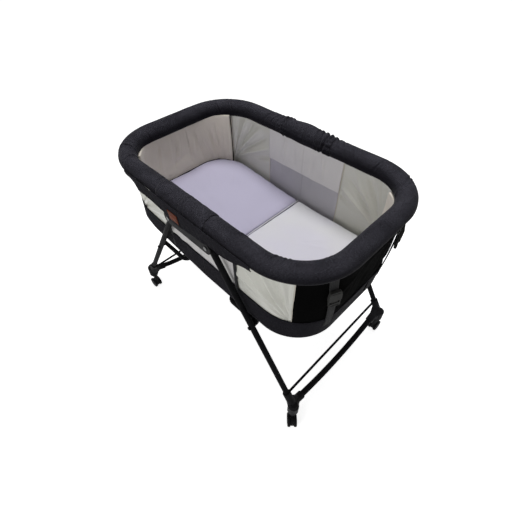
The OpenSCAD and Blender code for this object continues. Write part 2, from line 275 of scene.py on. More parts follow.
def melange():
    """Two-tone chambray: light flecks along both threads over a dark ground, with painted light from above
    that makes faces turned up paler.
    """
    s = fabrics()
    f = Finish("melange", roughness=0.88, ior=1.08, sheen_weight=0.10, sheen_roughness=0.3)
    along = f.noise(f.place((260, 1700, 1)), 1.0, 2.0, 0.6)
    across = f.noise(f.place((1700, 300, 1)), 1.0, 2.0, 0.6)
    cloudy = f.noise(f.place((14, 14, 1)), 1.0, 3.0)
    fainter = f.math("MULTIPLY", f.span(across, 0.5, 0.76), 0.8)
    flecks = f.math("MAXIMUM", f.span(along, 0.47, 0.74), fainter)
    tone = f.math("MULTIPLY", flecks, f.span(cloudy, 0.3, 0.7, 0.45, 0.95))
    normal = f.node("ShaderNodeNewGeometry").outputs["Normal"]
    upward = f.node("ShaderNodeSeparateXYZ", {0: normal}).outputs["Z"]
    # painted light from above: the flecks are dimmed to a quarter on faces turned down and kept full on
    # faces turned up
    painted_top_light = f.span(upward, -0.1, 0.8, 0.25, 1.0)
    tint = f.mix(f.math("MULTIPLY", tone, painted_top_light), tuple(s.rail), tuple(s.rail_light))
    weave = f.bump(threads(f, sizes().weave), 0.00025, 0.6)
    relief = f.bump(f.noise(f.place((60, 60, 1)), 1.0, 4.0), 0.0012, 0.35, weave)
    return f.done(tint, relief, f.span(tone, 0, 1, 0.92, 0.78))


def woven(name, base, spread, roughness, pitch=None, sheen=0.05, cloud=18, relief=0.0008, ior=1.2):
    """Plain woven or brushed cloth, uneven in tone by spread, with patches of 1 / cloud metres."""
    f = Finish(name, roughness=roughness, ior=ior, sheen_weight=sheen)
    cloudy = f.noise(f.place((cloud, cloud, 1)), 1.0, 4.0)
    thread = f.noise(f.place((700, 120, 1)), 1.0, 2.0)
    tone = f.math("ADD", f.math("MULTIPLY", cloudy, 0.6), f.math("MULTIPLY", thread, 0.4))
    tint = f.mix(f.span(tone, 0.3, 0.7), shade(base, 1 - spread), shade(base, 1 + spread))
    weave = f.bump(threads(f, pitch or sizes().weave), 0.0002, 0.5)
    normal = f.bump(f.noise(f.place((45, 45, 1)), 1.0, 5.0), relief, 0.4, weave)
    return f.done(tint, normal, f.span(cloudy, 0.3, 0.7, roughness - 0.05, min(1.0, roughness + 0.05)))


def net():
    """Fine net: round holes on a staggered grid, a little of the light passes through."""
    s = fabrics()
    f = Finish("net", roughness=0.75, ior=1.2, sheen_weight=0.1)
    pitch = 0.0022
    values = {"Vector": f.place((1 / pitch, 1 / pitch, 1)), "Scale": 1.0, "Randomness": 0.12}
    cells = f.node("ShaderNodeTexVoronoi", values, voronoi_dimensions="2D").outputs["Distance"]
    solid = f.span(cells, 0.2, 0.34)
    cloudy = f.noise(f.place((9, 9, 1)), 1.0, 3.0)
    ground = f.mix(f.span(cloudy, 0.3, 0.7), shade(s.mesh, 0.93), shade(s.mesh, 1.06))
    f.to("Alpha", f.span(solid, 0, 1, 0.62, 1.0))
    # the holes are painted dark grey at 62 % cover: painted shade seen through them
    return f.done(f.mix(solid, (0.26, 0.26, 0.27), ground), f.bump(solid, 0.0003, 0.6))


def quilted_sheet(name, base, other):
    """Cotton mattress cover, with faint creases and a slow change to another tint; where that tint is
    lilac it is painted lilac light.
    """
    f = Finish(name, roughness=0.82, ior=1.2, sheen_weight=0.1)
    place = f.place((1, 1, 1), uv=False)
    slow = f.noise(place, 5.0, 2.0)
    fine = f.noise(place, 420.0, 3.0)
    base_tone = f.mix(f.span(slow, 0.35, 0.65), tuple(base), tuple(other))
    fabric = f.bump(fine, 0.00035, 0.5)
    values = {"Vector": place, "Scale": 17.0, "Detail": 5.0, "Distortion": 1.2}
    crumple = f.node("ShaderNodeTexNoise", values).outputs["Fac"]
    tint = f.mix(f.span(fine, 0.2, 0.8, 0, 0.35), base_tone, shade(base, 0.9))
    return f.done(tint, f.bump(crumple, 0.0022, 0.35, fabric))


def ribbed_webbing():
    """Webbing with cords along it and ribs across."""
    f = Finish("webbing", roughness=0.78, ior=1.12, sheen_weight=0.05)
    base = tuple(fabrics().webbing)
    ribs = f.wave(f.place((1, 1, 1)), wave_scale(0.0016), "Y")
    cords = f.wave(f.place((1, 1, 1)), wave_scale(0.0024), "X")
    tone = f.math("MULTIPLY", ribs, f.span(cords, 0, 1, 0.6, 1.0))
    return f.done(f.mix(tone, shade(base, 0.6), shade(base, 1.45)), f.bump(tone, 0.0004, 0.8))


def plain_leather():
    """Grained leather, darker in the creases between its cells."""
    f = Finish("leather", roughness=0.55, ior=1.15)
    place = f.place((1, 1, 1), uv=False)
    base = tuple(fabrics().leather)
    cells = f.node("ShaderNodeTexVoronoi", {"Vector": place, "Scale": 900.0},
                   feature="DISTANCE_TO_EDGE").outputs["Distance"]
    patches = f.noise(place, 90.0, 4.0)
    worn = f.mix(f.span(patches, 0.3, 0.75), shade(base, 0.7), shade(base, 1.25))
    tint = f.mix(f.span(cells, 0, 0.12), shade(base, 0.45), worn)
    normal = f.bump(f.span(cells, 0, 0.2), 0.0003, 0.7)
    return f.done(tint, normal, f.span(patches, 0.3, 0.7, 0.42, 0.62))


def powder_coat():
    """Black powder-coated tube: fine orange peel and a low gloss, with dusty patches."""
    f = Finish("powder_coat", roughness=0.55, ior=1.08)
    place = f.place((1, 1, 1), uv=False)
    dust = f.noise(place, 22.0, 5.0)
    peel = f.noise(place, 900.0, 2.0)
    tint = f.mix(f.span(dust, 0.35, 0.75), (0.006, 0.006, 0.007), (0.013, 0.013, 0.014))
    return f.done(tint, f.bump(peel, 0.0002, 0.35), f.span(dust, 0.3, 0.75, 0.48, 0.65))


def moulded(name, base, roughness=0.5, grain=700.0):
    """Moulded nylon: fine spark grain, a trace of wear."""
    f = Finish(name, roughness=roughness, ior=1.1)
    place = f.place((1, 1, 1), uv=False)
    grains = f.noise(place, grain, 3.0)
    wear = f.noise(place, 35.0, 5.0)
    tint = f.mix(f.span(wear, 0.4, 0.75), tuple(base), shade(base, 1.7))
    varied = f.span(wear, 0.3, 0.7, roughness - 0.07, roughness + 0.1)
    return f.done(tint, f.bump(grains, 0.00018, 0.6), varied)


def brushed():
    """Blackened steel with fine turning marks."""
    f = Finish("brushed_pin", roughness=0.3, metallic=1.0)
    lines = f.noise(f.place((60, 60, 1500), uv=False), 1.0, 3.0)
    tint = f.mix(lines, (0.03, 0.03, 0.032), (0.08, 0.08, 0.083))
    return f.done(tint, f.bump(lines, 0.00005, 0.5), f.span(lines, 0.3, 0.7, 0.24, 0.42))


MATERIALS = {}


def make_materials():
    s = fabrics()
    MATERIALS.update(
        melange=melange(),
        black=woven("black_cloth", s.black, 0.25, 0.85, sheen=0.0, relief=0.0012, ior=1.03),
        lining=woven("lining_cloth", s.lining, 0.05, 0.9, pitch=0.0008, sheen=0.1, cloud=12),
        flap=woven("flap_cloth", s.flap, 0.05, 0.88, pitch=0.0008, sheen=0.1, cloud=12),
        satin=woven("satin_cloth", s.satin, 0.04, 0.32, pitch=0.0006, cloud=10, relief=0.0005, ior=1.6),
        binding=woven("binding_tape", srgb(26, 26, 29), 0.2, 0.75, pitch=0.0009),
        thread_dark=woven("dark_thread", srgb(28, 28, 32), 0.3, 0.7, pitch=0.0003),
        net=net(),
        # the head cover's darker lilac colour is painted shade and painted lilac light
        sheet_left=quilted_sheet("cover_head", s.sheet_left, shade(s.sheet_left, 0.95)),
        # the foot cover's lilac patches are painted lilac light
        sheet_right=quilted_sheet("cover_foot", s.sheet_right, srgb(222, 220, 233)),
        webbing=ribbed_webbing(),
        leather=plain_leather(),
        tube=powder_coat(),
        nylon=moulded("black_nylon", (0.011, 0.011, 0.012)),
        wheel=moulded("wheel_plastic", (0.009, 0.009, 0.010), 0.42, 500.0),
        buckle=moulded("buckle_plastic", srgb(44, 44, 43), 0.5),
        panel=moulded("base_panel", (0.014, 0.014, 0.014), 0.75, 300.0),
        pin=brushed(),
    )


# ------------------------------------------------------------------ mesh helpers

def in_scene(name, data):
    """A new object in the scene, at the origin."""
    obj = bpy.data.objects.new(name, data)
    bpy.context.scene.collection.objects.link(obj)
    return obj


def shade_all(mesh, smooth):
    mesh.polygons.foreach_set("use_smooth", [smooth] * len(mesh.polygons))


def cloth_mesh(name, verts, faces, material, uvs):
    """A smooth mesh object whose UV map runs along the threads, in metres."""
    mesh = bpy.data.meshes.new(name)
    mesh.from_pydata([tuple(map(float, v)) for v in verts], [], faces)
    layer = mesh.uv_layers.new(name="weave")
    loops = np.zeros(len(mesh.loops), np.int64)
    mesh.loops.foreach_get("vertex_index", loops)
    layer.data.foreach_set("uv", np.asarray(uvs, np.float32)[loops].ravel())
    mesh.materials.append(MATERIALS[material])
    shade_all(mesh, True)
    mesh.validate()
    mesh.update()
    return in_scene(name, mesh)


def grid_normals(points, hint):
    """Unit normals of a grid of points, on the side that hint points to."""
    du, dv = np.gradient(points, axis=0), np.gradient(points, axis=1)
    n = np.cross(du, dv)
    n /= np.maximum(np.linalg.norm(n, axis=2, keepdims=True), SMALL)
    turn = np.sign((n * hint).sum(2, keepdims=True))
    turn[turn == 0] = 1
    return n * turn


def facing(grid, axis, way):
    """The same outward direction, along one axis, for every point of a grid."""
    hint = np.zeros_like(grid)
    hint[..., axis] = way
    return hint


def run_along(line):
    """Distance of each point of a line from its first."""
    return np.concatenate(([0], np.cumsum(np.linalg.norm(np.diff(line, axis=0), axis=1))))


def grid_lengths(points):
    """Distances along both directions of a grid, in metres, for the weave."""
    n, m, _ = points.shape
    u = run_along(points[:, m // 2])[:, None] + np.zeros((n, m))
    v = run_along(points[n // 2])[None, :] + np.zeros((n, m))
    return u, v


def sheet_mesh(name, points, hint, thickness, material):
    """A closed thin shell round a grid of points. hint is the outward direction at each point."""
    n, m, _ = points.shape
    normals = grid_normals(points, hint)
    u, v = grid_lengths(points)
    uv = np.stack((u, v), 2).reshape(-1, 2)
    front = (points + normals * thickness / 2).reshape(-1, 3)
    back = (points - normals * thickness / 2).reshape(-1, 3)
    verts = np.concatenate((front, back))
    uvs = np.concatenate((uv, uv))
    size = n * m

    def at(i, j):
        return i * m + j

    probe = np.cross(points[1, 0] - points[0, 0], points[0, 1] - points[0, 0])
    flip = (probe * normals[0, 0]).sum() < 0
    faces = []
    for i in range(n - 1):
        for j in range(m - 1):
            quad = (at(i, j), at(i + 1, j), at(i + 1, j + 1), at(i, j + 1))
            quad = quad[::-1] if flip else quad
            faces.append(quad)
            faces.append(tuple(size + k for k in quad[::-1]))
    rim = []
    for i in range(n - 1):
        rim.append((at(i, 0), at(i + 1, 0)))
        rim.append((at(i + 1, m - 1), at(i, m - 1)))
    for j in range(m - 1):
        rim.append((at(n - 1, j), at(n - 1, j + 1)))
        rim.append((at(0, j + 1), at(0, j)))
    for a, b in rim:
        quad = (b, a, size + a, size + b)
        faces.append(quad[::-1] if flip else quad)
    return cloth_mesh(name, verts, faces, material, uvs)


def tube_mesh(name, rings, material):
    """A closed tube through rings of points, first to last."""
    n, m, _ = rings.shape
    along = run_along(rings.mean(1))
    girth = np.linalg.norm(rings[0, 1] - rings[0, 0]) * m
    verts = list(rings.reshape(-1, 3))
    uvs = [(along[i], girth * min(j, m - j) / m * 2) for i in range(n) for j in range(m)]
    out = rings[0, 0] - rings[0].mean(0)
    probe = np.cross(rings[1, 0] - rings[0, 0], rings[0, 1] - rings[0, 0])
    flip = (probe * out).sum() < 0
    faces = []
    for i in range(n - 1):
        for j in range(m):
            k = (j + 1) % m
            quad = (i * m + j, (i + 1) * m + j, (i + 1) * m + k, i * m + k)
            faces.append(quad[::-1] if flip else quad)
    for i, turn in ((0, flip), (n - 1, not flip)):
        centre = len(verts)
        verts.append(rings[i].mean(0))
        uvs.append((along[i], 0))
        for j in range(m):
            tri = (centre, i * m + j, i * m + (j + 1) % m)
            faces.append(tri[::-1] if turn else tri)
    return cloth_mesh(name, verts, faces, material, uvs)


def join(objects, name):
    """One object from several, with their meshes as they are."""
    mesh = bmesh.new()
    for o in objects:
        mesh.from_mesh(o.data)
    data = bpy.data.meshes.new(name)
    mesh.to_mesh(data)
    mesh.free()
    for m in objects[0].data.materials:
        data.materials.append(m)
    for o in objects:
        bpy.data.objects.remove(o)
    shade_all(data, True)
    return in_scene(name, data)


def ripple(u, v, scale, seed):
    """Smooth uneven relief between about -1 and 1 from nine waves, the same on every run."""
    random = np.random.RandomState(seed)
    waves = 9
    total = np.zeros(np.broadcast(u, v).shape)
    for _ in range(waves):
        angle = random.uniform(0, 2 * math.pi)
        turns = random.uniform(0.5, 1.6) * 2 * math.pi / scale
        total += np.sin(turns * (u * math.cos(angle) + v * math.sin(angle)) + random.uniform(0, 6.3))
    return total / math.sqrt(waves * 2)


def folds(u, v, lines):
    """Relief of folds, each a line (u0, v0, u1, v1, half width, height) that fades to its ends."""
    total = np.zeros(np.broadcast(u, v).shape)
    for u0, v0, u1, v1, width, height in lines:
        du, dv = u1 - u0, v1 - v0
        square = du * du + dv * dv
        t = ((u - u0) * du + (v - v0) * dv) / square
        held = np.clip(t, 0, 1)
        away = np.hypot(u - u0 - held * du, v - v0 - held * dv)
        total += height * np.exp(-(away / width) ** 2) * np.sin(math.pi * np.clip(t, 0.02, 0.98)) ** 0.5
    return total


def smooth_step(x, a, b):
    """0 below a, 1 above b, and an even rise between them."""
    t = np.clip((x - a) / (b - a), 0, 1)
    return t * t * (3 - 2 * t)


# ------------------------------------------------------------------ outlines

def outline(q, half_l, half_w, corner):
    """Points and outward normals of the right half of a rounded rectangle. q runs from 0 at the
    middle of the near side, by 1 and 2 round the near corner and 3 and 4 round the far one, to 5."""
    q = np.asarray(q, float)
    cx, cy = half_l - corner, half_w - corner
    turn = (np.clip(q - 1, 0, 1) + np.clip(q - 3, 0, 1)) * math.pi / 2 - math.pi / 2
    nx, ny = np.cos(turn), np.sin(turn)
    x = cx * (np.clip(q, 0, 1) - np.clip(q - 4, 0, 1)) + corner * nx
    y = -cy + 2 * cy * np.clip(q - 2, 0, 1) + corner * ny
    return np.stack((x, y), -1), np.stack((nx, ny), -1)


def q_at_x(x, shape):
    """Where the near part of an outline, given as half length, half width and corner, reaches x."""
    half_l, _, corner = shape
    straight = half_l - corner
    bend = 1 + np.arcsin(np.clip((x - straight) / corner, 0, 1)) * 2 / math.pi
    return np.where(x <= straight, x / straight, bend)


def even_steps(q0, q1, shape, step):
    """Values of q that are equal steps apart along the outline, and its length."""
    fine = np.linspace(q0, q1, 2000)
    run = run_along(outline(fine, *shape)[0])
    count = max(2, int(round(run[-1] / step)) + 1)
    return np.interp(np.linspace(0, run[-1], count), run, fine), run[-1]


RAIL = (RAIL_HL, RAIL_HW, RAIL_CORNER)


def basket(z, side):
    """Half length, half width and corner radius of the basket at height z."""
    k = np.clip((z - BASE_Z) / (WALL_HIGH.z - BASE_Z), 0, 1.02)
    (low_l, low_r), (top_l, top_r) = UNDERSIDE[side], UNDER_RAIL
    return low_l + (top_l - low_l) * k, BASKET_HW, low_r + (top_r - low_r) * k


def edge_q(edge, z, side):
    """Where the basket's outline at height z meets an edge, given as its x at the foot and at the top,
    and far or near."""
    low, high, far = edge
    q = q_at_x(low + (high - low) * (z - BASE_Z) / (WALL_TOP - BASE_Z), basket(z, side))
    return 5 - q if far else q


def head_lift(x):
    """How far the foot of the walls is drawn up round the head's corners, past the board's edge."""
    return 0.022 * smooth_step(-x, 0.290, 0.400)


def base_height(x):
    """Foot of the walls, which rises with the head half."""
    return BASE_Z + np.where(x < 0, -x * SLOPE, 0.0) + head_lift(x)


def band_height(x):
    """Top edge of the dark band, which falls a little to the foot and rises to the head."""
    return BAND_TOP + np.where(x < 0, -x * 0.056, -x * 0.019) + 0.8 * head_lift(x)


# height that a wall's rows are spread over, and height above which its top may lean in
ROWS_HEIGHT, LEAN_FROM = 0.28, 0.6


def wall_grid(side, start, end, low, high, inset, relief, step=0.005, lean=0.0, rows=None):
    """A stretch of the basket's wall between two upright edges, from low to high, which are heights
    or functions of x. It is moved in by inset, relief(run, height) pushes it out, and lean pulls its
    top in."""
    middle = (BASE_Z + WALL_TOP) / 2
    q0, q1 = (float(edge_q(edge, middle, side)) for edge in (start, end))
    q, run = even_steps(q0, q1, basket(middle, side), step)
    along = ((q - q0) / (q1 - q0))[:, None]
    v = np.linspace(0, 1, rows or max(2, int(round(ROWS_HEIGHT / step))))[None, :]
    z = middle + 0 * along * v
    # the heights of the foot and the head depend on x, and x on the height, so they settle by turns
    for _ in range(4):
        a, b = edge_q(start, z, side), edge_q(end, z, side)
        p, n = outline(a + (b - a) * along, *basket(z, side))
        x = p[..., 0] * side
        foot, head = (edge(x) if callable(edge) else edge for edge in (low, high))
        z = foot + (head - foot) * v + 0 * along
    push = relief(run * along + 0 * z, z) - lean * smooth_step(z, LEAN_FROM, WALL_TOP) - inset
    grid = np.stack(((p[..., 0] + n[..., 0] * push) * side, p[..., 1] + n[..., 1] * push, z), 2)
    hint = np.stack((n[..., 0] * side, n[..., 1], 0 * z), 2)
    return grid, hint, run


def side_fade(s, width=0.02):
    """Fades to nothing at both upright edges of a panel."""
    return smooth_step(s, 0, width) * smooth_step(s.max() - s, 0, width)


# ------------------------------------------------------------------ node trees for what repeats

def start_tree(name, numbers):
    """A node tree that takes curves, some numbers and a material. Gives back what it is given too."""
    tree = bpy.data.node_groups.new(name, "GeometryNodeTree")
    sockets = tree.interface
    for way in ("INPUT", "OUTPUT"):
        sockets.new_socket(name="Geometry", in_out=way, socket_type="NodeSocketGeometry")
    for key, value in numbers.items():
        socket = sockets.new_socket(name=key, in_out="INPUT", socket_type="NodeSocketFloat")
        socket.default_value = value
    sockets.new_socket(name="Material", in_out="INPUT", socket_type="NodeSocketMaterial")
    return tree, tree.nodes.new("NodeGroupInput").outputs


def end_tree(tree, given, made):
    """Turns what the tree made into a plain mesh with its material, and sends it out."""
    new, link = tree.nodes.new, tree.links.new
    real, finish = new("GeometryNodeRealizeInstances"), new("GeometryNodeSetMaterial")
    link(made, real.inputs["Geometry"])
    link(real.outputs["Geometry"], finish.inputs["Geometry"])
    link(given["Material"], finish.inputs["Material"])
    link(finish.outputs["Geometry"], new("NodeGroupOutput").inputs["Geometry"])
    return tree


def stitch_tree():
    """Stitches laid end to end along curves."""
    tree, given = start_tree("stitches", {"Pitch": 0.005, "Stitch": 0.0034, "Thread": 0.0005})
    new, link = tree.nodes.new, tree.links.new
    points = new("GeometryNodeCurveToPoints")
    points.mode = "LENGTH"
    link(given["Geometry"], points.inputs["Curve"])
    link(given["Pitch"], points.inputs["Length"])
    bead = new("GeometryNodeMeshUVSphere")
    bead.inputs["Segments"].default_value = 6
    bead.inputs["Rings"].default_value = 4
    bead.inputs["Radius"].default_value = 0.5
    bead_size = new("ShaderNodeCombineXYZ")
    thickness = new("ShaderNodeMath")
    thickness.operation = "MULTIPLY"
    thickness.inputs[1].default_value = 2.0
    link(given["Thread"], thickness.inputs[0])
    link(thickness.outputs[0], bead_size.inputs["X"])
    link(thickness.outputs[0], bead_size.inputs["Y"])
    link(given["Stitch"], bead_size.inputs["Z"])
    place = new("GeometryNodeInstanceOnPoints")
    link(points.outputs["Points"], place.inputs["Points"])
    link(bead.outputs["Mesh"], place.inputs["Instance"])
    link(points.outputs["Rotation"], place.inputs["Rotation"])
    link(bead_size.outputs["Vector"], place.inputs["Scale"])
    return end_tree(tree, given, place.outputs["Instances"])


def piping_tree():
    """A round cord swept along curves."""
    tree, given = start_tree("piping", {"Radius": 0.002})
    new, link = tree.nodes.new, tree.links.new
    profile = new("GeometryNodeCurvePrimitiveCircle")
    profile.inputs["Resolution"].default_value = 10
    link(given["Radius"], profile.inputs["Radius"])
    sweep = new("GeometryNodeCurveToMesh")
    sweep.inputs["Fill Caps"].default_value = True
    link(given["Geometry"], sweep.inputs["Curve"])
    link(profile.outputs["Curve"], sweep.inputs["Profile Curve"])
    return end_tree(tree, given, sweep.outputs["Mesh"])


TREE_MAKERS = {"stitches": stitch_tree, "piping": piping_tree}
TREES = {}


def run_tree(name, kind, lines, material, values):
    """Puts a node tree over curves and turns the result into a plain mesh."""
    if kind not in TREES:
        TREES[kind] = TREE_MAKERS[kind]()
    tree = TREES[kind]
    curve = bpy.data.curves.new(name + "_line", "CURVE")
    curve.dimensions = "3D"
    for points in lines:
        spline = curve.splines.new("POLY")
        spline.points.add(len(points) - 1)
        spline.points.foreach_set("co", np.c_[np.asarray(points, float), np.ones(len(points))].ravel())
    holder = in_scene(name + "_line", curve)
    modifier = holder.modifiers.new(kind, "NODES")
    modifier.node_group = tree
    values = dict(values, Material=MATERIALS[material])
    for item in tree.interface.items_tree:
        if item.in_out == "INPUT" and item.name in values:
            modifier[item.identifier] = values[item.name]
    graph = bpy.context.evaluated_depsgraph_get()
    graph.update()
    mesh = bpy.data.meshes.new_from_object(holder.evaluated_get(graph), depsgraph=graph)
    mesh.name = name
    bpy.data.objects.remove(holder)
    shade_all(mesh, True)
    if not len(mesh.polygons):
        raise RuntimeError(f"{name}: the node tree made no faces")
    return in_scene(name, mesh)


def stitches(name, lines, thread=0.00045):
    """Rows of stitches along lines, in a thread of this radius."""
    s = sizes()
    values = {"Pitch": s.stitch + s.gap, "Stitch": s.stitch, "Thread": thread}
    return run_tree(name, "stitches", lines, "thread_dark", values)


def piping(name, lines, material, radius):
    """Round cords along lines."""
    return run_tree(name, "piping", lines, material, {"Radius": radius})


# ------------------------------------------------------------------ how pieces follow the frame


def on_body(obj, body, slot, *nodes):
    """Rides on a body of the frame, in place of the named nodes if there are any. The slot is not used."""
    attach(obj, body)
    if nodes:
        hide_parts(*nodes)


def on_rail(obj, half, slot, *nodes, soft=True):
    """Rides on its half of the rail, and if it is soft it gets a mesh of its own."""
    on_body(obj, f"rail_{half}", slot, *nodes)
    if soft:
        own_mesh(obj)


# ------------------------------------------------------------------ rail cover

# spacing of the rings of the rail covers and the sleeves, and the points in each
RAIL_STEP, RAIL_AROUND = 0.0026, 56
SLEEVE_STEP, SLEEVE_AROUND = 0.0017, 64
# how far rows of stitches stand off the cloth's middle, and the radius of the fold along a hem
STITCH_LIFT = {"rail": 0.0006, "hem": 0.0009, "band": 0.0010}
HEM_FOLD = 0.0013
# angles round the rail, from level outside by way of the top: where the foam is slimmest, and its seam
TIGHT_ANGLE, SEAM_ANGLE = 308, 232
# how far a sleeve reaches over its rail cover, and the width and the height of its flat cloth
SLEEVE_LAP, SLEEVE_CLOTH = 0.004, 0.22
# gathers across the sleeves, as places along x
FAR_GATHERS = (-0.105, -0.094, 0.049, 0.061, 0.073, 0.086)
NEAR_GATHERS = (0.011,)
# creases across the rail: run from the middle of the near side, angle where it is deepest,
# angle it spreads over, depth, half width, and how far it slants
CREASES = {
    "right": [
        (0.209, 122, 50, 0.0030, 0.0026, 0.010), (0.221, 118, 42, 0.0018, 0.0022, 0.013),
        (0.330, 138, 50, 0.0038, 0.0028, 0.010), (0.357, 145, 50, 0.0034, 0.0026, 0.008),
        (0.470, 150, 55, 0.0016, 0.0030, -0.008), (0.836, 120, 55, 0.0022, 0.0026, -0.030),
        (0.862, 105, 75, 0.0048, 0.0030, -0.036), (0.986, 130, 60, 0.0022, 0.0030, 0.012),
        (1.120, 110, 60, 0.0026, 0.0032, -0.016), (1.146, 105, 60, 0.0034, 0.0030, -0.014),
    ],
    "left": [
        (0.126, 105, 55, 0.0032, 0.0026, 0.013), (0.138, 115, 50, 0.0020, 0.0024, 0.010),
        (0.303, 92, 55, 0.0032, 0.0028, 0.010), (0.379, 100, 70, 0.0044, 0.0030, -0.009),
        (0.405, 118, 55, 0.0026, 0.0026, -0.012), (0.500, 150, 50, 0.0016, 0.0030, 0.008),
        (0.830, 145, 55, 0.0030, 0.0028, 0.014), (0.892, 130, 50, 0.0022, 0.0028, 0.012),
        (1.098, 95, 65, 0.0030, 0.0030, -0.020), (1.130, 95, 65, 0.0040, 0.0030, -0.018),
        (1.148, 108, 55, 0.0028, 0.0028, -0.014),
    ],
}


def angle_between(a, b):
    """How far a is ahead of b, in degrees, from -180 to 180."""
    return (a - b + 180) % 360 - 180


def lower_slack(degrees):
    """How much slimmer the foam is on its lower outer side, where its cover is sewn tight."""
    return -0.0062 * np.exp(-(angle_between(degrees, TIGHT_ANGLE) / 52) ** 2)


def rail_rings(half, side):
    """The padded rail, as rings of points round its centre line."""
    q_start = q_at_x(PAD_START, RAIL)
    q, run = even_steps(q_start, 5 - q_start, RAIL, RAIL_STEP)
    p, n = outline(q, *RAIL)
    s = (np.linspace(0, run, len(q)) + PAD_START)[:, None]
    degrees = (np.arange(RAIL_AROUND) * 360 / RAIL_AROUND)[None, :]
    a = np.radians(degrees)
    r = PAD_R * (1 + 0.012 * ripple(s, degrees / 400, 0.11, 5 if side > 0 else 6)) + lower_slack(degrees)
    for at, middle, spread, depth, width, slant in CREASES[half]:
        turn = angle_between(degrees, middle)
        fade = np.exp(-(turn / spread) ** 2)
        away = s - at - slant * np.sin(np.radians(turn))
        r = r - 1.4 * depth * fade * np.exp(-(away / width) ** 2)
        r = r + 0.5 * depth * fade * np.exp(-((np.abs(away) - 2.3 * width) / (1.4 * width)) ** 2)
    ends = np.minimum(s - PAD_START, PAD_START + run - s)
    pinch = np.exp(-ends / 0.030)
    r = r + 0.0011 * pinch * np.sin(np.radians(degrees * 13) + 1.7 * np.sin(np.radians(degrees * 2)))
    r = r - 0.0050 * np.exp(-(ends / 0.0045) ** 2)
    rings = np.zeros((len(q), RAIL_AROUND, 3))
    rings[..., 0] = (p[:, 0, None] + n[:, 0, None] * r * np.cos(a)) * side
    rings[..., 1] = p[:, 1, None] + n[:, 1, None] * r * np.cos(a)
    rings[..., 2] = RAIL_Z + r * np.sin(a)
    return rings


class BASSINET_OT_rail_covers(bpy.types.Operator):
    """Padded melange cover round each half of the rail, puckered at the bends and the cinches"""
    bl_idname = "bassinet.rail_covers"
    bl_label = "Rail covers"

    def execute(self, context):
        for half, side in HALVES:
            rings = rail_rings(half, side)
            cover = tube_mesh(f"rail_cover_{half}", rings, "melange")
            on_rail(cover, half, "rail_fabric", f"rail_pad_{half}", soft=False)
            column = int(round(RAIL_AROUND * SEAM_ANGLE / 360))
            centre = rings[4:-4].mean(1)
            out = rings[4:-4, column] - centre
            line = stitches(f"rail_seam_{half}", [centre + out * (1 + STITCH_LIFT["rail"] / PAD_R)])
            on_rail(line, half, "rail_fabric", soft=False)
        return {"FINISHED"}


def sleeve_rings(side, y_side):
    """Loose cover over a hinge lock, gathered at both cinches. It is fuller on the far side."""
    far = y_side > 0
    x = np.linspace(0.0003, PAD_START + SLEEVE_LAP, int(PAD_START / SLEEVE_STEP))[:, None]
    degrees = (np.arange(SLEEVE_AROUND) * 360 / SLEEVE_AROUND)[None, :]
    a = np.radians(degrees)
    world_x = x * side
    edge = PAD_START + SLEEVE_LAP - x
    gather = np.exp(-edge / 0.022)
    bulge = 0.0070 * np.exp(-((world_x + 0.012) / 0.055) ** 2) if far else 0.0002
    r = PAD_R + 0.0008 + bulge * (0.5 + 0.5 * np.sin(a)) + lower_slack(degrees)
    pleats = np.sin(np.radians(degrees * 15) + 2.2 * np.sin(np.radians(degrees * 3 + 50 * side)))
    r = r + (0.0022 if far else 0.0007) * gather * pleats
    r = r - 0.0012 * np.exp(-(edge / 0.004) ** 2)
    spread = 0.62 + 0.38 * np.sin(a)
    for k, at in enumerate(FAR_GATHERS if far else NEAR_GATHERS):
        away = world_x - at - 0.010 * np.cos(a + k)
        depth = (0.0068 if far else 0.0030) * (0.8 + 0.25 * math.sin(k * 2.1))
        r = r - depth * spread * np.exp(-(away / 0.0036) ** 2)
        r = r + 0.4 * depth * spread * np.exp(-((np.abs(away) - 0.008) / 0.005) ** 2)
    r = r + 0.0007 * ripple(world_x, degrees / 500, 0.05, 31 if far else 32)
    rings = np.zeros((len(x), SLEEVE_AROUND, 3))
    rings[..., 0] = world_x
    rings[..., 1] = (RAIL_HW + r * np.cos(a)) * y_side
    rings[..., 2] = RAIL_Z + r * np.sin(a)
    return rings


class BASSINET_OT_sleeves(bpy.types.Operator):
    """Gathered sleeves over the hinge locks, between the hub and the rail"""
    bl_idname = "bassinet.sleeves"
    bl_label = "Hinge sleeves"

    def execute(self, context):
        for half, side in HALVES:
            parts = []
            for _, y_side in SIDES:
                rings = sleeve_rings(side, y_side)
                grid = np.concatenate((rings, rings[:, :1]), axis=1)
                hint = grid - grid.mean(1, keepdims=True)
                name = f"sleeve_{half}_{y_side}"
                parts.append(sheet_mesh(name, grid, hint, sizes().cloth, "melange"))
            sleeve = join(parts, f"sleeve_cover_{half}")
            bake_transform(sleeve)
            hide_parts(f"sleeve_{half}")
        return {"FINISHED"}


# ------------------------------------------------------------------ skirts

# where a skirt ends along x, where it starts to merge into the rail, and its top edge
SKIRT_END, SKIRT_MERGE = 0.288, 0.215
SKIRT_TOP = RAIL_Z + 0.004
# the hem is the mean of itself moved by these, which rounds it
HEM_SHIFTS = (-0.018, -0.009, 0.0, 0.009, 0.018)
# height of the hem at distances from the middle, for each half
HEM = {
    1: ((0.0, 0.711), (0.04, 0.717), (0.11, 0.726), (0.18, 0.731), (0.225, 0.742), (0.262, 0.752),
        (0.29, 0.760)),
    -1: ((0.0, 0.712), (0.03, 0.709), (0.05, 0.713), (0.09, 0.726), (0.15, 0.731), (0.22, 0.733),
         (0.262, 0.742), (0.29, 0.756)),
}


def hem_height(x, side):
    """Height of the skirt's hem, rounded between its points."""
    xs, zs = zip(*HEM[side])
    total = np.zeros_like(x)
    for shift in HEM_SHIFTS:
        total += np.interp(np.abs(x + shift), xs, zs)
    return total / len(HEM_SHIFTS)


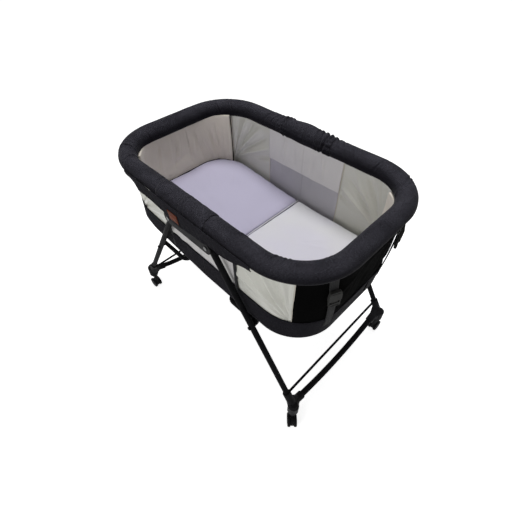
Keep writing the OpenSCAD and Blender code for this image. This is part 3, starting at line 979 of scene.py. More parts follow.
def skirt_y(x, z, y_side, side):
    """Distance of the skirt's cloth from the middle plane: flush with the rail above, slack below."""
    drop = np.clip((SKIRT_TOP - z) / 0.06, 0, 1)
    wave = ripple(x * side, z * 0.3, 0.085, 11 if y_side < 0 else 12)
    wave = wave + 0.5 * ripple(x * side, z, 0.03, 13)
    return SKIRT_Y - 0.0022 * drop ** 2 + 0.0018 * drop * wave * smooth_step(x, 0.0, 0.02)


def skirt_grid(side, y_side):
    """A skirt's cloth, from the middle to the bend of the rail and from its top edge to the hem."""
    x = np.linspace(0.0006, SKIRT_END, 112)[:, None]
    v = np.linspace(0, 1, 22)[None, :]
    z = SKIRT_TOP + (hem_height(x, side) - SKIRT_TOP) * v
    merge = smooth_step(x, SKIRT_MERGE, SKIRT_END)
    height = np.clip((z - RAIL_Z) / (PAD_R + 0.001), -1, 1)
    snug = RAIL_HW + (PAD_R + 0.001) * np.sqrt(1 - height ** 2)
    corner_in = np.clip(x - (RAIL_HL - RAIL_CORNER), 0, 1)
    y = skirt_y(x, z, y_side, side) * (1 - merge) + snug * merge - corner_in ** 2 / (2 * RAIL_CORNER)
    grid = np.zeros((*z.shape, 3))
    grid[..., 0] = x * side + 0 * z
    grid[..., 1] = y * y_side
    grid[..., 2] = z
    return grid, facing(grid, 1, y_side)


class BASSINET_OT_skirts(bpy.types.Operator):
    """Short skirts that hang from the sides of the rail over the hinge locks, with a stitched hem"""
    bl_idname = "bassinet.skirts"
    bl_label = "Side skirts"

    def execute(self, context):
        for half, side in HALVES:
            for name, y_side in SIDES:
                grid, hint = skirt_grid(side, y_side)
                skirt = sheet_mesh(f"skirt_{name}_{half}", grid, hint, sizes().cloth, "melange")
                on_rail(skirt, half, "rail_fabric", f"valance_{name}_{half}", soft=False)
                row = grid[:, -4] + grid_normals(grid, hint)[:, -4] * STITCH_LIFT["hem"]
                line = stitches(f"hem_stitches_{name}_{half}", [row])
                on_rail(line, half, "rail_fabric", soft=False)
                fold = piping(f"hem_fold_{name}_{half}", [grid[:, -1]], "melange", HEM_FOLD)
                on_rail(fold, half, "rail_fabric", soft=False)
        return {"FINISHED"}


# ------------------------------------------------------------------ walls of the basket

# how far the cloths lie inside the outline
END_INSET, SIDE_INSET, LINING_INSET = 0.0012, 0.0018, 0.0105
# how far the rail draws the top of the lining in
LINING_LEAN = 0.012
# lower edge and inset of each window flap: the near ones hang outside the net, the far ones inside
FLAP = {"near": (0.560, -0.0030), "far": (0.629, 0.0062)}
# thickness of the net, as a share of the other cloths'
NET_SHARE = 0.7
# tape and piping of the seams: width, thickness and inset of the tape, and the insets of the piping
TAPE_WIDTH, TAPE_THICKNESS, TAPE_INSET = 0.013, 0.0010, -0.0026
WINDOW_WELT_INSET, END_WELT_INSETS = 0.0034, (0.0002, 0.0038)
SEAM_POINTS = 40
# short upright wrinkles of the lining at each end
WRINKLES = 22
# folds of the cloths as folds() takes them, by the run along a panel and the height
END_FOLDS = (
    (0.05, 0.60, 0.16, 0.70, 0.012, 0.0030), (0.30, 0.56, 0.40, 0.66, 0.014, 0.0026),
    (0.52, 0.70, 0.60, 0.58, 0.012, 0.0028), (0.20, 0.715, 0.46, 0.712, 0.008, 0.0024),
)
NET_FOLDS = ((0.06, 0.56, 0.075, 0.73, 0.006, 0.0016), (0.125, 0.56, 0.118, 0.72, 0.007, -0.0018))
FLAP_FOLDS = ((0.075, 0.645, 0.085, 0.745, 0.005, -0.0050), (0.13, 0.645, 0.125, 0.73, 0.006, 0.0036))
LINING_FOLDS = (
    (0.435, 0.55, 0.425, 0.70, 0.008, -0.0058), (0.452, 0.54, 0.445, 0.69, 0.009, 0.0056),
    (0.18, 0.60, 0.31, 0.63, 0.012, 0.0036),
)
# folds that fan out from the foot of a corner's end seam: angle above level, spread and height
FAN_FOOT = 0.535
CORNER_FAN = (
    (12, 2.4, 0.0060), (23, 2.8, 0.0105), (32, 2.4, -0.0080), (42, 2.8, 0.0115),
    (51, 2.4, -0.0085), (61, 2.6, 0.0105), (70, 2.2, -0.0070), (79, 2.2, 0.0060),
)


def edge_fade(z, width):
    """Fades to nothing at the foot and the top of a wall."""
    return smooth_step(z, BASE_Z, BASE_Z + width) * smooth_step(WALL_TOP + 0.004 - z, 0, width)


def end_relief(s, z):
    """Loose woven panel: slow waves, a few slack folds below the rail."""
    slack = 0.0022 * ripple(s, z, 0.17, 41) + 0.0010 * ripple(s, z * 0.4, 0.05, 42)
    return (slack + folds(s, z, END_FOLDS)) * edge_fade(z, 0.012)


def corner_relief(seed, sign):
    """Satin corner panel: folds fan out from the foot of the end seam, where sign says it lies."""
    def relief(s, z):
        width = s.max()
        along = s if sign > 0 else width - s
        angle = np.degrees(np.arctan2(z - FAN_FOOT, np.maximum(width - along, 0.002)))
        reach = np.hypot(z - FAN_FOOT, width - along)
        grow = smooth_step(reach, 0.0, 0.04) * smooth_step(0.28 - reach, 0, 0.08)
        fan = sum(height * np.exp(-((angle - at) / spread) ** 2) for at, spread, height in CORNER_FAN)
        upright = 0.0016 * np.sin(along * 2 * math.pi / 0.016) * smooth_step(along, width - 0.05, width)
        fades = edge_fade(z, 0.03) * side_fade(s, 0.012)
        slack = (fan * grow + upright + 0.0012 * ripple(s, z, 0.12, seed)) * fades
        return np.minimum(slack, 0.0010 + 0.2 * np.clip(z - 0.582, 0, 1))
    return relief


def net_relief(seed):
    """Net with a little slack, flat at all its edges."""
    def relief(s, z):
        slack = 0.0014 * ripple(s, z, 0.16, seed) + folds(s, z, NET_FOLDS)
        return slack * edge_fade(z, 0.02) * side_fade(s)
    return relief


def flap_relief(seed):
    """Flap that is held flat at its top and hangs in waves below."""
    def relief(s, z):
        free = smooth_step(0.73 - z, 0, 0.05)
        slack = 0.0022 * free * ripple(s, z * 0.3, 0.075, seed) + folds(s, z, FLAP_FOLDS)
        return slack * side_fade(s) - 0.0010 * free
    return relief


def lining_relief(seed):
    """Padded lining: pillowy between its edges, with upright wrinkles below the rail."""
    def relief(s, z):
        random = np.random.RandomState(seed)
        total = 0.0014 * ripple(s, z, 0.10, seed + 1)
        for _ in range(WRINKLES):
            at = random.uniform(0.03, 0.95) * s.max()
            lean = random.uniform(-0.025, 0.025)
            top = random.uniform(0.69, 0.738)
            bottom = top - random.uniform(0.05, 0.16)
            width, height = random.uniform(0.005, 0.010), random.uniform(0.0034, 0.0064)
            line = (at, bottom, at + lean, top, width, height)
            total = total + folds(s, z, [line]) * (1 if random.rand() > 0.45 else -1)
        belly = -0.0095 * (1 - smooth_step(z, 0.58, 0.73))
        return total + folds(s, z, LINING_FOLDS) + belly
    return relief


class BASSINET_OT_walls(bpy.types.Operator):
    """Cloth walls of the basket: black ends with a padded lining, satin corners, net windows"""
    bl_idname = "bassinet.walls"
    bl_label = "Basket walls"

    def execute(self, context):
        cloth = sizes().cloth
        for half, side in HALVES:
            near, far = (*END_SEAM[side], False), (*END_SEAM[side], True)
            rail = [f"rail_cover_{half}"]
            grid, hint, run = wall_grid(side, near, far, base_height, WALL_TOP, END_INSET, end_relief)
            end = sheet_mesh(f"end_panel_{half}", grid, hint, cloth, "black")
            on_rail(end, half, "black_fabric", f"end_wall_{half}")
            low = MATTRESS_TOP - 0.004 if side > 0 else lambda x: MATTRESS_TOP - 0.006 - x * SLOPE
            relief = lining_relief(61 + side)
            grid, hint, run = wall_grid(side, near, far, low, WALL_TOP + 0.002, LINING_INSET, relief,
                                        0.004, lean=LINING_LEAN)
            lining = sheet_mesh(f"end_lining_{half}", grid, hint, sizes().lining, "lining")
            on_rail(lining, half, "beige_lining")
            for name, y_side in SIDES:
                self.side_walls(half, side, name, y_side, cloth, rail)
            self.seams(half, side)
        return {"FINISHED"}

    def side_walls(self, half, side, name, y_side, cloth, rail):
        """A satin corner, a net window and its flap, on one side of one half."""
        far = y_side > 0
        seam, window, middle = (*END_SEAM[side], far), (WINDOW_X, WINDOW_X, far), (0.0, 0.0, far)
        start, end = (seam, window) if far else (window, seam)
        relief = corner_relief(70 + side + 2 * y_side, -y_side)
        grid, hint, run = wall_grid(side, start, end, base_height, WALL_TOP, SIDE_INSET, relief, 0.0035)
        corner = sheet_mesh(f"corner_panel_{name}_{half}", grid, hint, cloth, "satin")
        on_rail(corner, half, "satin_fabric", f"corner_wall_{name}_{half}")
        start, end = (window, middle) if far else (middle, window)
        relief = net_relief(80 + side)
        grid, hint, run = wall_grid(side, start, end, base_height, WALL_TOP, SIDE_INSET, relief)
        net_sheet = sheet_mesh(f"net_window_{name}_{half}", grid, hint, cloth * NET_SHARE, "net")
        on_rail(net_sheet, half, "window_mesh", f"window_{name}_{half}")
        low, inset = FLAP[name]
        relief = flap_relief(90 + side)
        grid, hint, run = wall_grid(side, start, end, low, WALL_TOP, inset, relief, 0.004)
        flap = sheet_mesh(f"window_flap_{name}_{half}", grid, hint, cloth, "flap")
        on_rail(flap, half, "beige_lining")

    def seams(self, half, side):
        """Binding tape down the window edges, and a welt behind it and on both faces of each end seam."""
        tapes, welts = [], []
        seam = END_SEAM[side]
        for _, y_side in SIDES:
            foot = float(base_height(WINDOW_X * side)) + 0.02
            z = np.linspace(foot, WALL_TOP - 0.003, SEAM_POINTS)
            for inset, lines in ((TAPE_INSET, tapes), (WINDOW_WELT_INSET, welts)):
                y = (BASKET_HW - inset) * y_side
                lines.append(np.stack((0 * z + WINDOW_X * side, 0 * z + y, z), 1))
            foot = float(base_height(seam[0] * side)) + 0.01
            z = np.linspace(foot, WALL_TOP - 0.002, SEAM_POINTS)
            p, n = outline(edge_q((*seam, y_side > 0), z, side), *basket(z, side))
            for inset in END_WELT_INSETS:
                x, y = (p - n * inset).T
                welts.append(np.stack((x * side, y, z), 1))
        tape = flat_tapes(f"window_binding_{half}", tapes, TAPE_WIDTH, TAPE_THICKNESS, "binding")
        on_rail(tape, half, "rail_fabric")
        welt = piping(f"wall_welts_{half}", welts, "lining", sizes().welt)
        on_rail(welt, half, "satin_fabric")


def flat_tapes(name, lines, width, thickness, material):
    """Flat tapes that lie on the side walls along upright lines."""
    parts = []
    for k, line in enumerate(lines):
        across = np.linspace(-width / 2, width / 2, 5)
        grid = line[None, :, :] + np.stack((across, 0 * across, 0 * across), 1)[:, None, :]
        hint = facing(grid, 1, np.sign(line[0, 1]))
        parts.append(sheet_mesh(f"{name}_{k}", grid, hint, thickness, material))
    return join(parts, name)


# how far the band stands out of the outline, its height as flat cloth, and the mean height of its cloth
BAND_OUT, BAND_CLOTH, BAND_MEAN = 0.0012, 0.093, 0.080
# how far the cloth under the base lies inside the band, and its area in each half
UNDER_INSET, UNDER_AREA = 0.008, 0.205


def band_relief(seed):
    """Band with a little slack above its foot."""
    def relief(s, z):
        free = smooth_step(z, BASE_Z + 0.01, BASE_Z + 0.05)
        return 0.0004 + 0.0011 * free * ripple(s, z, 0.12, seed) * side_fade(s)
    return relief


class BASSINET_OT_band(bpy.types.Operator):
    """Dark band round the foot of the walls, with piped edges, and the cloth under the base"""
    bl_idname = "bassinet.band"
    bl_label = "Base band"

    def execute(self, context):
        for half, side in HALVES:
            start, end = (0.0, 0.0, False), (0.0, 0.0, True)
            grid, hint, run = wall_grid(side, start, end, base_height, band_height, -BAND_OUT,
                                        band_relief(100 + side), rows=20)
            band = sheet_mesh(f"base_band_{half}", grid, hint, sizes().cloth, "melange")
            on_rail(band, half, "rail_fabric", f"band_{half}")
            welt = piping(f"band_edge_{half}", [grid[:, -1]], "melange", sizes().welt)
            on_rail(welt, half, "rail_fabric")
            row = grid[:, -2] + hint[:, -2] * STITCH_LIFT["band"]
            on_rail(stitches(f"band_stitches_{half}", [row]), half, "rail_fabric")
            self.underside(half, side)
        return {"FINISHED"}

    def underside(self, half, side):
        """Cloth that closes the bottom, slack between the board's edges."""
        q = np.linspace(0.0, 5.0, 160)
        half_l, half_w, corner = basket(BASE_Z, side)
        p, _ = outline(q, half_l - UNDER_INSET, half_w - UNDER_INSET, corner - UNDER_INSET)
        t = np.linspace(0, 1, 36) ** 0.8
        x = p[:, 0, None] * t
        y = p[:, 1, None] * t
        slack = 0.0016 * (1 - t[None, :] ** 6) * (0.6 + 0.4 * ripple(x, y, 0.2, 110 + side))
        lift = head_lift(x * side) * (1 - smooth_step(t, 0.93, 1.0))
        z = base_height(x * side) - lift - 0.0004 - slack
        grid = np.stack((x * side, y, z), 2)
        under = sheet_mesh(f"base_cloth_{half}", grid, facing(grid, 2, -1), sizes().cloth, "black")
        on_body(under, f"base_{half}", "black_fabric")


# ------------------------------------------------------------------ mattress

# how far the cloth of the mattress may be blown up, how far its head corners are pushed out, the
# length of a corner, and how far each half is pushed over the middle
PUFF, CORNER_PUSH, CORNER_REACH, MIDDLE_PUSH = 0.005, 0.013, 0.15, 0.0045
# how much wider the cover is at its sides, as a share
SIDE_BULGE = 0.030
# rise of the cover in the middle of its width, and how deep it dips at the fold
CROWN, DIP = 0.004, 0.0020
# piping of the fold: its radius and how far it lies under the top
FOLD_RADIUS, FOLD_DROP = 0.0018, 0.0022
# creases and dents of each half's cover as folds() takes them, by x and y
MATTRESS_FOLDS = {
    1: ((0.15, 0.03, 0.27, 0.10, 0.006, 0.0026), (0.16, 0.06, 0.24, 0.13, 0.005, 0.0020),
        (0.24, -0.02, 0.34, -0.12, 0.010, -0.0030), (0.27, 0.01, 0.36, -0.08, 0.007, 0.0026),
        (0.06, -0.15, 0.22, -0.10, 0.012, -0.0020)),
    -1: ((-0.30, 0.16, -0.18, 0.05, 0.012, 0.0028), (-0.36, -0.02, -0.12, -0.05, 0.016, -0.0026),
         (-0.22, -0.12, -0.06, -0.06, 0.010, 0.0020), (-0.40, 0.10, -0.28, 0.02, 0.009, 0.0018)),
}


def puffed(node, name, material, cap):
    """A copy of a CAD pad, rounded and blown up a little as cloth."""
    mesh = frame["nodes"][node].data.copy()
    obj = in_scene(name, mesh)
    b = bmesh.new()
    b.from_mesh(mesh)
    bmesh.ops.remove_doubles(b, verts=b.verts, dist=1e-5)
    b.to_mesh(mesh)
    b.free()
    mesh.materials.clear()
    mesh.materials.append(MATERIALS[material])
    remesh = obj.modifiers.new("remesh", "REMESH")
    remesh.mode = "VOXEL"
    remesh.voxel_size = 0.006
    smooth = obj.modifiers.new("soften", "SMOOTH")
    smooth.factor = 0.6
    smooth.iterations = 7
    apply_all(obj)
    blow_up(obj, cap)
    return obj


def apply_all(obj):
    """Turns an object's modifiers into its plain mesh."""
    graph = bpy.context.evaluated_depsgraph_get()
    graph.update()
    mesh = bpy.data.meshes.new_from_object(obj.evaluated_get(graph), depsgraph=graph)
    old = obj.data
    obj.modifiers.clear()
    obj.data = mesh
    if old.users == 0:
        bpy.data.meshes.remove(old)


def coordinates(mesh):
    """The places of a mesh's points, as rows."""
    co = np.zeros(len(mesh.vertices) * 3)
    mesh.vertices.foreach_get("co", co)
    return co.reshape(-1, 3)


def move_points(mesh, co):
    mesh.vertices.foreach_set("co", co.ravel())
    mesh.update()


def blow_up(obj, cap):
    """Runs a short pressure simulation and keeps each point within cap of where it was."""
    frames = 20
    rest = coordinates(obj.data)
    cloth = obj.modifiers.new("cloth", "CLOTH")
    cloth.settings.use_pressure = True
    cloth.settings.uniform_pressure_force = 4.0
    cloth.settings.effector_weights.gravity = 0.0
    cloth.settings.quality = 5
    cloth.settings.tension_stiffness = 12
    cloth.settings.compression_stiffness = 12
    cloth.point_cache.frame_start = 1
    cloth.point_cache.frame_end = frames
    scene = bpy.context.scene
    for number in range(1, frames + 1):
        scene.frame_set(number)
    apply_all(obj)
    scene.frame_set(1)
    moved = coordinates(obj.data) - rest
    reach = np.linalg.norm(moved, axis=1, keepdims=True)
    moved *= np.minimum(1, cap / np.maximum(reach, SMALL))
    move_points(obj.data, rest + moved)


class BASSINET_OT_mattress(bpy.types.Operator):
    """Two padded mattress halves that meet at a piped fold across the middle"""
    bl_idname = "bassinet.mattress"
    bl_label = "Mattress"

    def execute(self, context):
        for half, side in HALVES:
            pad = puffed(f"mattress_{half}", f"mattress_pad_{half}", f"sheet_{half}", PUFF)
            co = coordinates(pad.data)
            top = MATTRESS_TOP + (-co[:, 0] * SLOPE if side < 0 else 0) - 0.010
            upper = smooth_step(co[:, 2], top - 0.012, top + 0.004)
            co[:, 1] *= 1 + SIDE_BULGE * np.abs(co[:, 1] / MATTRESS_HW) ** 3
            to_corner = 2 * np.clip((np.abs(co[:, 0]) - MATTRESS_HL + CORNER_REACH) / CORNER_REACH, 0, 1)
            to_corner *= np.clip((np.abs(co[:, 1]) - MATTRESS_HW + CORNER_REACH) / CORNER_REACH, 0, 1)
            co[:, 0] += side * END_GAP[side] * smooth_step(np.abs(co[:, 0]), 0.25, MATTRESS_HL)
            co[:, 0] -= side * MIDDLE_PUSH * np.exp(-(co[:, 0] / 0.03) ** 2)
            if side < 0:
                co[:, :2] += np.sign(co[:, :2]) * CORNER_PUSH * to_corner[:, None]
            co[:, 2] += upper * self.creases(co[:, 0], co[:, 1], side)
            move_points(pad.data, co)
            shade_all(pad.data, True)
            pad.modifiers.new("fine", "SUBSURF").levels = 1
            pad.modifiers["fine"].render_levels = 1
            on_body(pad, f"base_{half}", "mattress_cover", f"mattress_{half}")
        y = np.linspace(-MATTRESS_HW, MATTRESS_HW, 60)
        line = np.stack((0 * y, y, 0 * y + MATTRESS_TOP - FOLD_DROP), 1)
        fold = piping("fold_piping", [line], "sheet_right", FOLD_RADIUS)
        on_body(fold, "hub_frame", "mattress_cover", "mattress_seam")
        return {"FINISHED"}

    def creases(self, x, y, side):
        """Soft dents and creases of the cover, as heights."""
        crown = CROWN * (1 - np.clip(np.abs(y) / MATTRESS_HW, 0, 1) ** 2)
        dip = -DIP * np.exp(-(x / 0.014) ** 2)
        slack = folds(x, y, MATTRESS_FOLDS[side]) + 0.0016 * ripple(x, y, 0.16, 120 + side)
        return slack + crown + dip


# ------------------------------------------------------------------ straps, buckles and tag

# angles from the end at which a strap meets the band and the rail, half its width, and the
# heights of its buckle's ends
STRAP_ANGLES = {1: (15.2, 29.8), -1: (16.0, 20.0)}
STRAP_HALF = 0.0125
BUCKLE_Z = (0.630, 0.700)
BUCKLE_MIDDLE = sum(BUCKLE_Z) / 2
# height of a strap's lower angle, how far above the basket's foot each end's straps stop, how far they
# lie off the wall, how much their slack adds to that on each side, and the height where it begins
STRAP_FOOT, STRAP_STOP, STRAP_OFF = 0.53, {1: 0.045, -1: 0.03}, 0.0034
STRAP_SLACK, SLACK_TOP = {1: 0.003, -1: 0.0025}, 0.735
# thickness and length of the webbing, and how far a buckle's back lies above it
WEB_THICKNESS, STRAP_LENGTH, BUCKLE_LIFT = 0.0014, 0.27, 0.003


def strap_place(z, side, y_side):
    """Points of the wall under a strap at heights z, with the outward and sideways directions."""
    turn = np.radians(np.interp(z, (STRAP_FOOT, WALL_TOP), STRAP_ANGLES[side]))
    half_l, half_w, corner = basket(z, side)
    nx, ny = np.cos(turn), np.sin(turn) * y_side
    x, y = (half_l - corner + corner * nx) * side, (half_w - corner) * y_side + corner * ny
    out = np.stack((nx * side, ny, 0 * z), -1)
    return np.stack((x, y, z), -1), out, np.stack((-out[..., 1], out[..., 0], 0 * z), -1)


def strap_path(side, y_side):
    """Height and distance from the wall along a strap, a little slack between its ends."""
    low = float(base_height(0.4 * side)) + STRAP_STOP[side]
    z = np.linspace(WALL_TOP + 0.006, low, 90)
    slack = np.sin(math.pi * np.clip((z - low) / (SLACK_TOP - low), 0, 1)) ** 2
    off = STRAP_OFF + STRAP_SLACK[y_side] * slack
    return z, off + 0.001 * np.exp(-((z - BUCKLE_MIDDLE) / 0.03) ** 2)


class BASSINET_OT_straps(bpy.types.Operator):
    """Webbing straps down the ends, each with a side-release buckle"""
    bl_idname = "bassinet.straps"
    bl_label = "Straps and buckles"

    def execute(self, context):
        for half, side in HALVES:
            webs, buckles = [], []
            for name, y_side in SIDES:
                z, off = strap_path(side, y_side)
                place, out, across = strap_place(z, side, y_side)
                w = np.linspace(-STRAP_HALF, STRAP_HALF, 7)[:, None, None]
                grid = place + out * off[:, None] + across * w
                hint = np.broadcast_to(out, grid.shape)
                webs.append(sheet_mesh(f"web_{half}_{name}", grid, hint, WEB_THICKNESS, "webbing"))
                lift = float(np.interp(-BUCKLE_MIDDLE, -z, off)) + BUCKLE_LIFT
                ends, out, across = strap_place(np.array(BUCKLE_Z), side, y_side)
                up = (ends[1] - ends[0]) / np.linalg.norm(ends[1] - ends[0])
                out, across = out.mean(0), across.mean(0)
                buckles.append(self.buckle(ends[0] + out * lift, out, across, up))
            web = join(webs, f"webbing_{half}")
            on_rail(web, half, "webbing", f"straps_{half}")
            clip = join(buckles, f"buckle_pair_{half}")
            shade_all(clip.data, False)
            bevel = clip.modifiers.new("edges", "BEVEL")
            bevel.width = 0.0008
            bevel.segments = 2
            bevel.angle_limit = math.radians(40)
            on_rail(clip, half, "button_plastic", f"buckles_{half}", soft=False)
        return {"FINISHED"}

    def buckle(self, foot, out, across, up):
        """Side-release buckle: a socket above, a waisted clip with two side prongs below, and a
        raised bar at each end that the webbing runs over."""
        b = bmesh.new()

        def slab(outline_points, depth, lift=0.0):
            """A flat piece of an outline, depth thick, with its back lifted off the strap."""
            front, back = ([b.verts.new(Vector(foot + across * u + up * w + out * (lift + d)))
                            for u, w in outline_points] for d in (depth, 0.0))
            b.faces.new(front)
            b.faces.new(back[::-1])
            for i in range(len(front)):
                k = (i + 1) % len(front)
                b.faces.new((front[i], back[i], back[k], front[k]))

        def even(right):
            """An outline from its right half, listed upwards."""
            return right + [(-u, w) for u, w in reversed(right)]

        socket = [(0.0165, 0.028), (0.0190, 0.031), (0.0190, 0.052), (0.0160, 0.067), (0.0140, 0.070)]
        slab(even(socket), 0.0085)
        slab(even([(0.0155, 0.0), (0.0170, 0.003), (0.0175, 0.012), (0.0150, 0.0165)]), 0.0075)
        slab(even([(0.0105, 0.016), (0.0115, 0.029)]), 0.0050, 0.0008)
        for turn in (-1, 1):
            prong = ((0.0135, 0.016), (0.0178, 0.0165), (0.0186, 0.029), (0.0150, 0.029))
            slab([(turn * u, w) for u, w in prong], 0.0060, 0.0006)
        for w, top in ((0.0052, 0.0068), (0.0620, 0.0078)):
            slab(even([(0.0135, w - 0.0013), (0.0135, w + 0.0013)]), 0.0018, top)
        bmesh.ops.recalc_face_normals(b, faces=b.faces)
        mesh = bpy.data.meshes.new("buckle")
        b.to_mesh(mesh)
        b.free()
        mesh.materials.append(MATERIALS["buckle"])
        return in_scene("buckle", mesh)


# thickness of the tag, distance of its stitches from its edge, and the radius of their thread
TAG_THICKNESS, TAG_MARGIN, TAG_THREAD = 0.0016, 0.003, 0.0003
# how far the tag's edges and its stitches lie in front of the skirt
TAG_LIFT, TAG_STITCH_LIFT = 0.0018, 0.0029


class BASSINET_OT_tag(bpy.types.Operator):
    """Plain leather tag sewn to the near skirt"""
    bl_idname = "bassinet.tag"
    bl_label = "Leather tag"

    def execute(self, context):
        low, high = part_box("leather_tag")
        cx, cz = (low.x + high.x) / 2, (low.z + high.z) / 2
        hw, hh = (high.x - low.x) / 2, (high.z - low.z) / 2
        u, v = np.linspace(-1, 1, 34)[:, None], np.linspace(-1, 1, 26)[None, :]
        x = cx + hw * u + 0 * v
        z = cz + hh * v * 0.99 + 0 * u
        y = -skirt_y(-x, z, -1, -1) - TAG_LIFT - 0.0006 * np.cos(u * 2.1) * np.cos(v * 2.3)
        grid = np.stack((x, y, z), 2)
        tag = sheet_mesh("tag", grid, facing(grid, 1, -1), TAG_THICKNESS, "leather")
        on_rail(tag, "left", "tan_leather", "leather_tag", soft=False)
        t = np.linspace(0, 2 * math.pi, 80, endpoint=False)
        rx = np.clip(np.cos(t) * 1.5, -1, 1) * (hw - TAG_MARGIN) + cx
        rz = np.clip(np.sin(t) * 1.5, -1, 1) * (hh - TAG_MARGIN) + cz
        ring = np.stack((rx, -skirt_y(-rx, rz, -1, -1) - TAG_STITCH_LIFT, rz), 1)
        line = stitches("tag_stitches", [np.r_[ring, ring[:1]]], TAG_THREAD)
        on_rail(line, "left", "tan_leather", soft=False)
        return {"FINISHED"}


# ------------------------------------------------------------------ stand

# finish of the frame's nodes, by how their names start
NODE_FINISH = (
    ("hub_", "nylon"), ("pivot_pins", "pin"), ("button_", "nylon"), ("rail_tube_", "tube"),
    ("base_board_", "panel"), ("leg_", "tube"), ("bracket_", "nylon"), ("rocker_tube_", "tube"),
    ("brace_rod_", "tube"), ("hoop_", "tube"), ("caster_", "nylon"), ("wheels_", "wheel"),
)


class BASSINET_OT_stand(bpy.types.Operator):
    """Finishes of the stand's tubes, hubs, brackets and casters"""
    bl_idname = "bassinet.stand"
    bl_label = "Stand finishes"

    def execute(self, context):
        for node, obj in frame["nodes"].items():
            finish = next((m for start, m in NODE_FINISH if node.startswith(start)), None)
            if finish is None:
                continue
            if not obj.material_slots:
                obj.data.materials.append(None)
            for place in obj.material_slots:
                place.material = MATERIALS[finish]
        return {"FINISHED"}


# ------------------------------------------------------------------ stage

# place and direction of the camera
CAMERA_PLACE = (0.66971, -0.63169, 1.37445)
CAMERA_FORWARD = (-0.49120, 0.45719, -0.74142)
CAMERA_RIGHT = (0.69929, 0.71448, -0.02272)
# name, place and width of each lamp, and the point that they look at
LAMPS = (("key", (-0.2, 0.35, 3.0), 1.2), ("fill", (0.5, -2.6, 1.5), 1.3))
LAMP_TARGET = (0, 0, 0.5)
# glow of the floor and of the world as they are seen, and of the world as light on things
FLOOR_GLOW, WORLD_SEEN, WORLD_LIGHT = 0.80, 1.0, 0.22
FLOOR_POINTS = 64


class BASSINET_OT_stage(bpy.types.Operator):
    """Pale floor, soft lamps and the camera"""
    bl_idname = "bassinet.stage"
    bl_label = "Stage"

    def execute(self, context):
        scene = context.scene
        stage = scene.bassinet_stage
        scene.view_settings.view_transform = "Standard"
        self.floor(stage)
        self.world(scene)
        for name, place, size in LAMPS:
            lamp(name, place, size, getattr(stage, name))
        data = bpy.data.cameras.new("camera")
        data.lens = stage.lens
        data.sensor_width = 36.0
        camera = in_scene("camera", data)
        forward = Vector(CAMERA_FORWARD).normalized()
        right = Vector(CAMERA_RIGHT)
        right = (right - forward * right.dot(forward)).normalized()
        up = right.cross(forward)
        turn = Matrix((right, up, -forward)).transposed()
        camera.matrix_world = Matrix.Translation(CAMERA_PLACE) @ turn.to_4x4()
        scene.camera = camera
        return {"FINISHED"}

    def floor(self, stage):
        radius = stage.radius
        t = np.linspace(0, 2 * math.pi, FLOOR_POINTS, endpoint=False)
        verts = [(radius * math.cos(a), radius * math.sin(a), 0.0) for a in t]
        mesh = bpy.data.meshes.new("floor")
        mesh.from_pydata(verts, [], [tuple(range(FLOOR_POINTS))])
        material = bpy.data.materials.new("floor")
        material.use_nodes = True
        tree = material.node_tree
        bsdf = tree.nodes["Principled BSDF"]
        bsdf.inputs["Base Color"].default_value = (*stage.floor, 1)
        bsdf.inputs["Roughness"].default_value = 0.9
        bsdf.inputs["Emission Color"].default_value = (1, 1, 1, 1)
        glow = tree.nodes.new("ShaderNodeMath")
        glow.operation = "MULTIPLY"
        glow.inputs[1].default_value = FLOOR_GLOW
        tree.links.new(seen_directly(tree), glow.inputs[0])
        tree.links.new(glow.outputs[0], bsdf.inputs["Emission Strength"])
        mesh.materials.append(material)
        in_scene("floor", mesh)

    def world(self, scene):
        world = bpy.data.worlds.new("studio")
        world.use_nodes = True
        tree = world.node_tree
        background = tree.nodes["Background"]
        background.inputs["Color"].default_value = (1, 1, 1, 1)
        level = tree.nodes.new("ShaderNodeMapRange")
        level.inputs["To Min"].default_value = WORLD_LIGHT
        level.inputs["To Max"].default_value = WORLD_SEEN
        tree.links.new(seen_directly(tree), level.inputs["Value"])
        tree.links.new(level.outputs["Result"], background.inputs["Strength"])
        scene.world = world


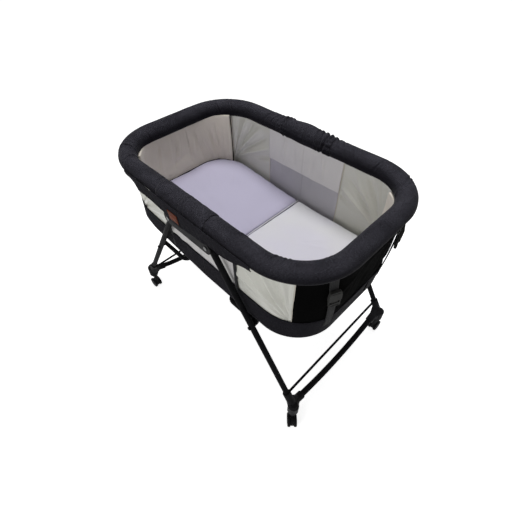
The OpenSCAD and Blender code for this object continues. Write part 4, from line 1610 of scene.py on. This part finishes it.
def seen_directly(tree):
    """1 for rays from the camera, from a gloss or through glass, and 0 for those that light things."""
    path = tree.nodes.new("ShaderNodeLightPath")
    total = path.outputs["Is Camera Ray"]
    for kind in ("Is Glossy Ray", "Is Transmission Ray"):
        either = tree.nodes.new("ShaderNodeMath")
        either.operation = "MAXIMUM"
        tree.links.new(total, either.inputs[0])
        tree.links.new(path.outputs[kind], either.inputs[1])
        total = either.outputs[0]
    return total


def lamp(name, place, size, power):
    """A round soft lamp that looks at the middle of the bassinet."""
    data = bpy.data.lights.new(name, "AREA")
    data.shape = "DISK"
    data.size = size
    data.energy = power
    obj = in_scene(name, data)
    obj.location = place
    obj.rotation_euler = (Vector(LAMP_TARGET) - Vector(place)).to_track_quat("-Z", "Y").to_euler()


# ------------------------------------------------------------------ panel and registration

OPERATORS = (
    BASSINET_OT_stage, BASSINET_OT_rail_covers, BASSINET_OT_sleeves, BASSINET_OT_skirts,
    BASSINET_OT_walls, BASSINET_OT_band, BASSINET_OT_mattress, BASSINET_OT_straps,
    BASSINET_OT_tag, BASSINET_OT_stand,
)
SETTINGS = (("bassinet_fabrics", BassinetFabrics), ("bassinet_sizes", BassinetSizes),
            ("bassinet_stage", BassinetStage))


class BASSINET_PT_panel(bpy.types.Panel):
    """Lists the steps that dress the bassinet"""
    bl_label = "Bassinet"
    bl_idname = "BASSINET_PT_panel"
    bl_space_type = "VIEW_3D"
    bl_region_type = "UI"
    bl_category = "Bassinet"

    def draw(self, context):
        for name, group in SETTINGS:
            settings = getattr(context.scene, name)
            for key in group.__annotations__:
                self.layout.prop(settings, key)
        for operator in OPERATORS:
            self.layout.operator(operator.bl_idname)


def register():
    for name, group in SETTINGS:
        bpy.utils.register_class(group)
        setattr(bpy.types.Scene, name, bpy.props.PointerProperty(type=group))
    for operator in OPERATORS:
        bpy.utils.register_class(operator)
    bpy.utils.register_class(BASSINET_PT_panel)


def unregister():
    bpy.utils.unregister_class(BASSINET_PT_panel)
    for operator in reversed(OPERATORS):
        bpy.utils.unregister_class(operator)
    for name, group in reversed(SETTINGS):
        delattr(bpy.types.Scene, name)
        bpy.utils.unregister_class(group)


def main():
    register()
    make_materials()
    for operator in OPERATORS:
        group, name = operator.bl_idname.split(".")
        getattr(getattr(bpy.ops, group), name)()


if __name__ == "__main__":
    main()
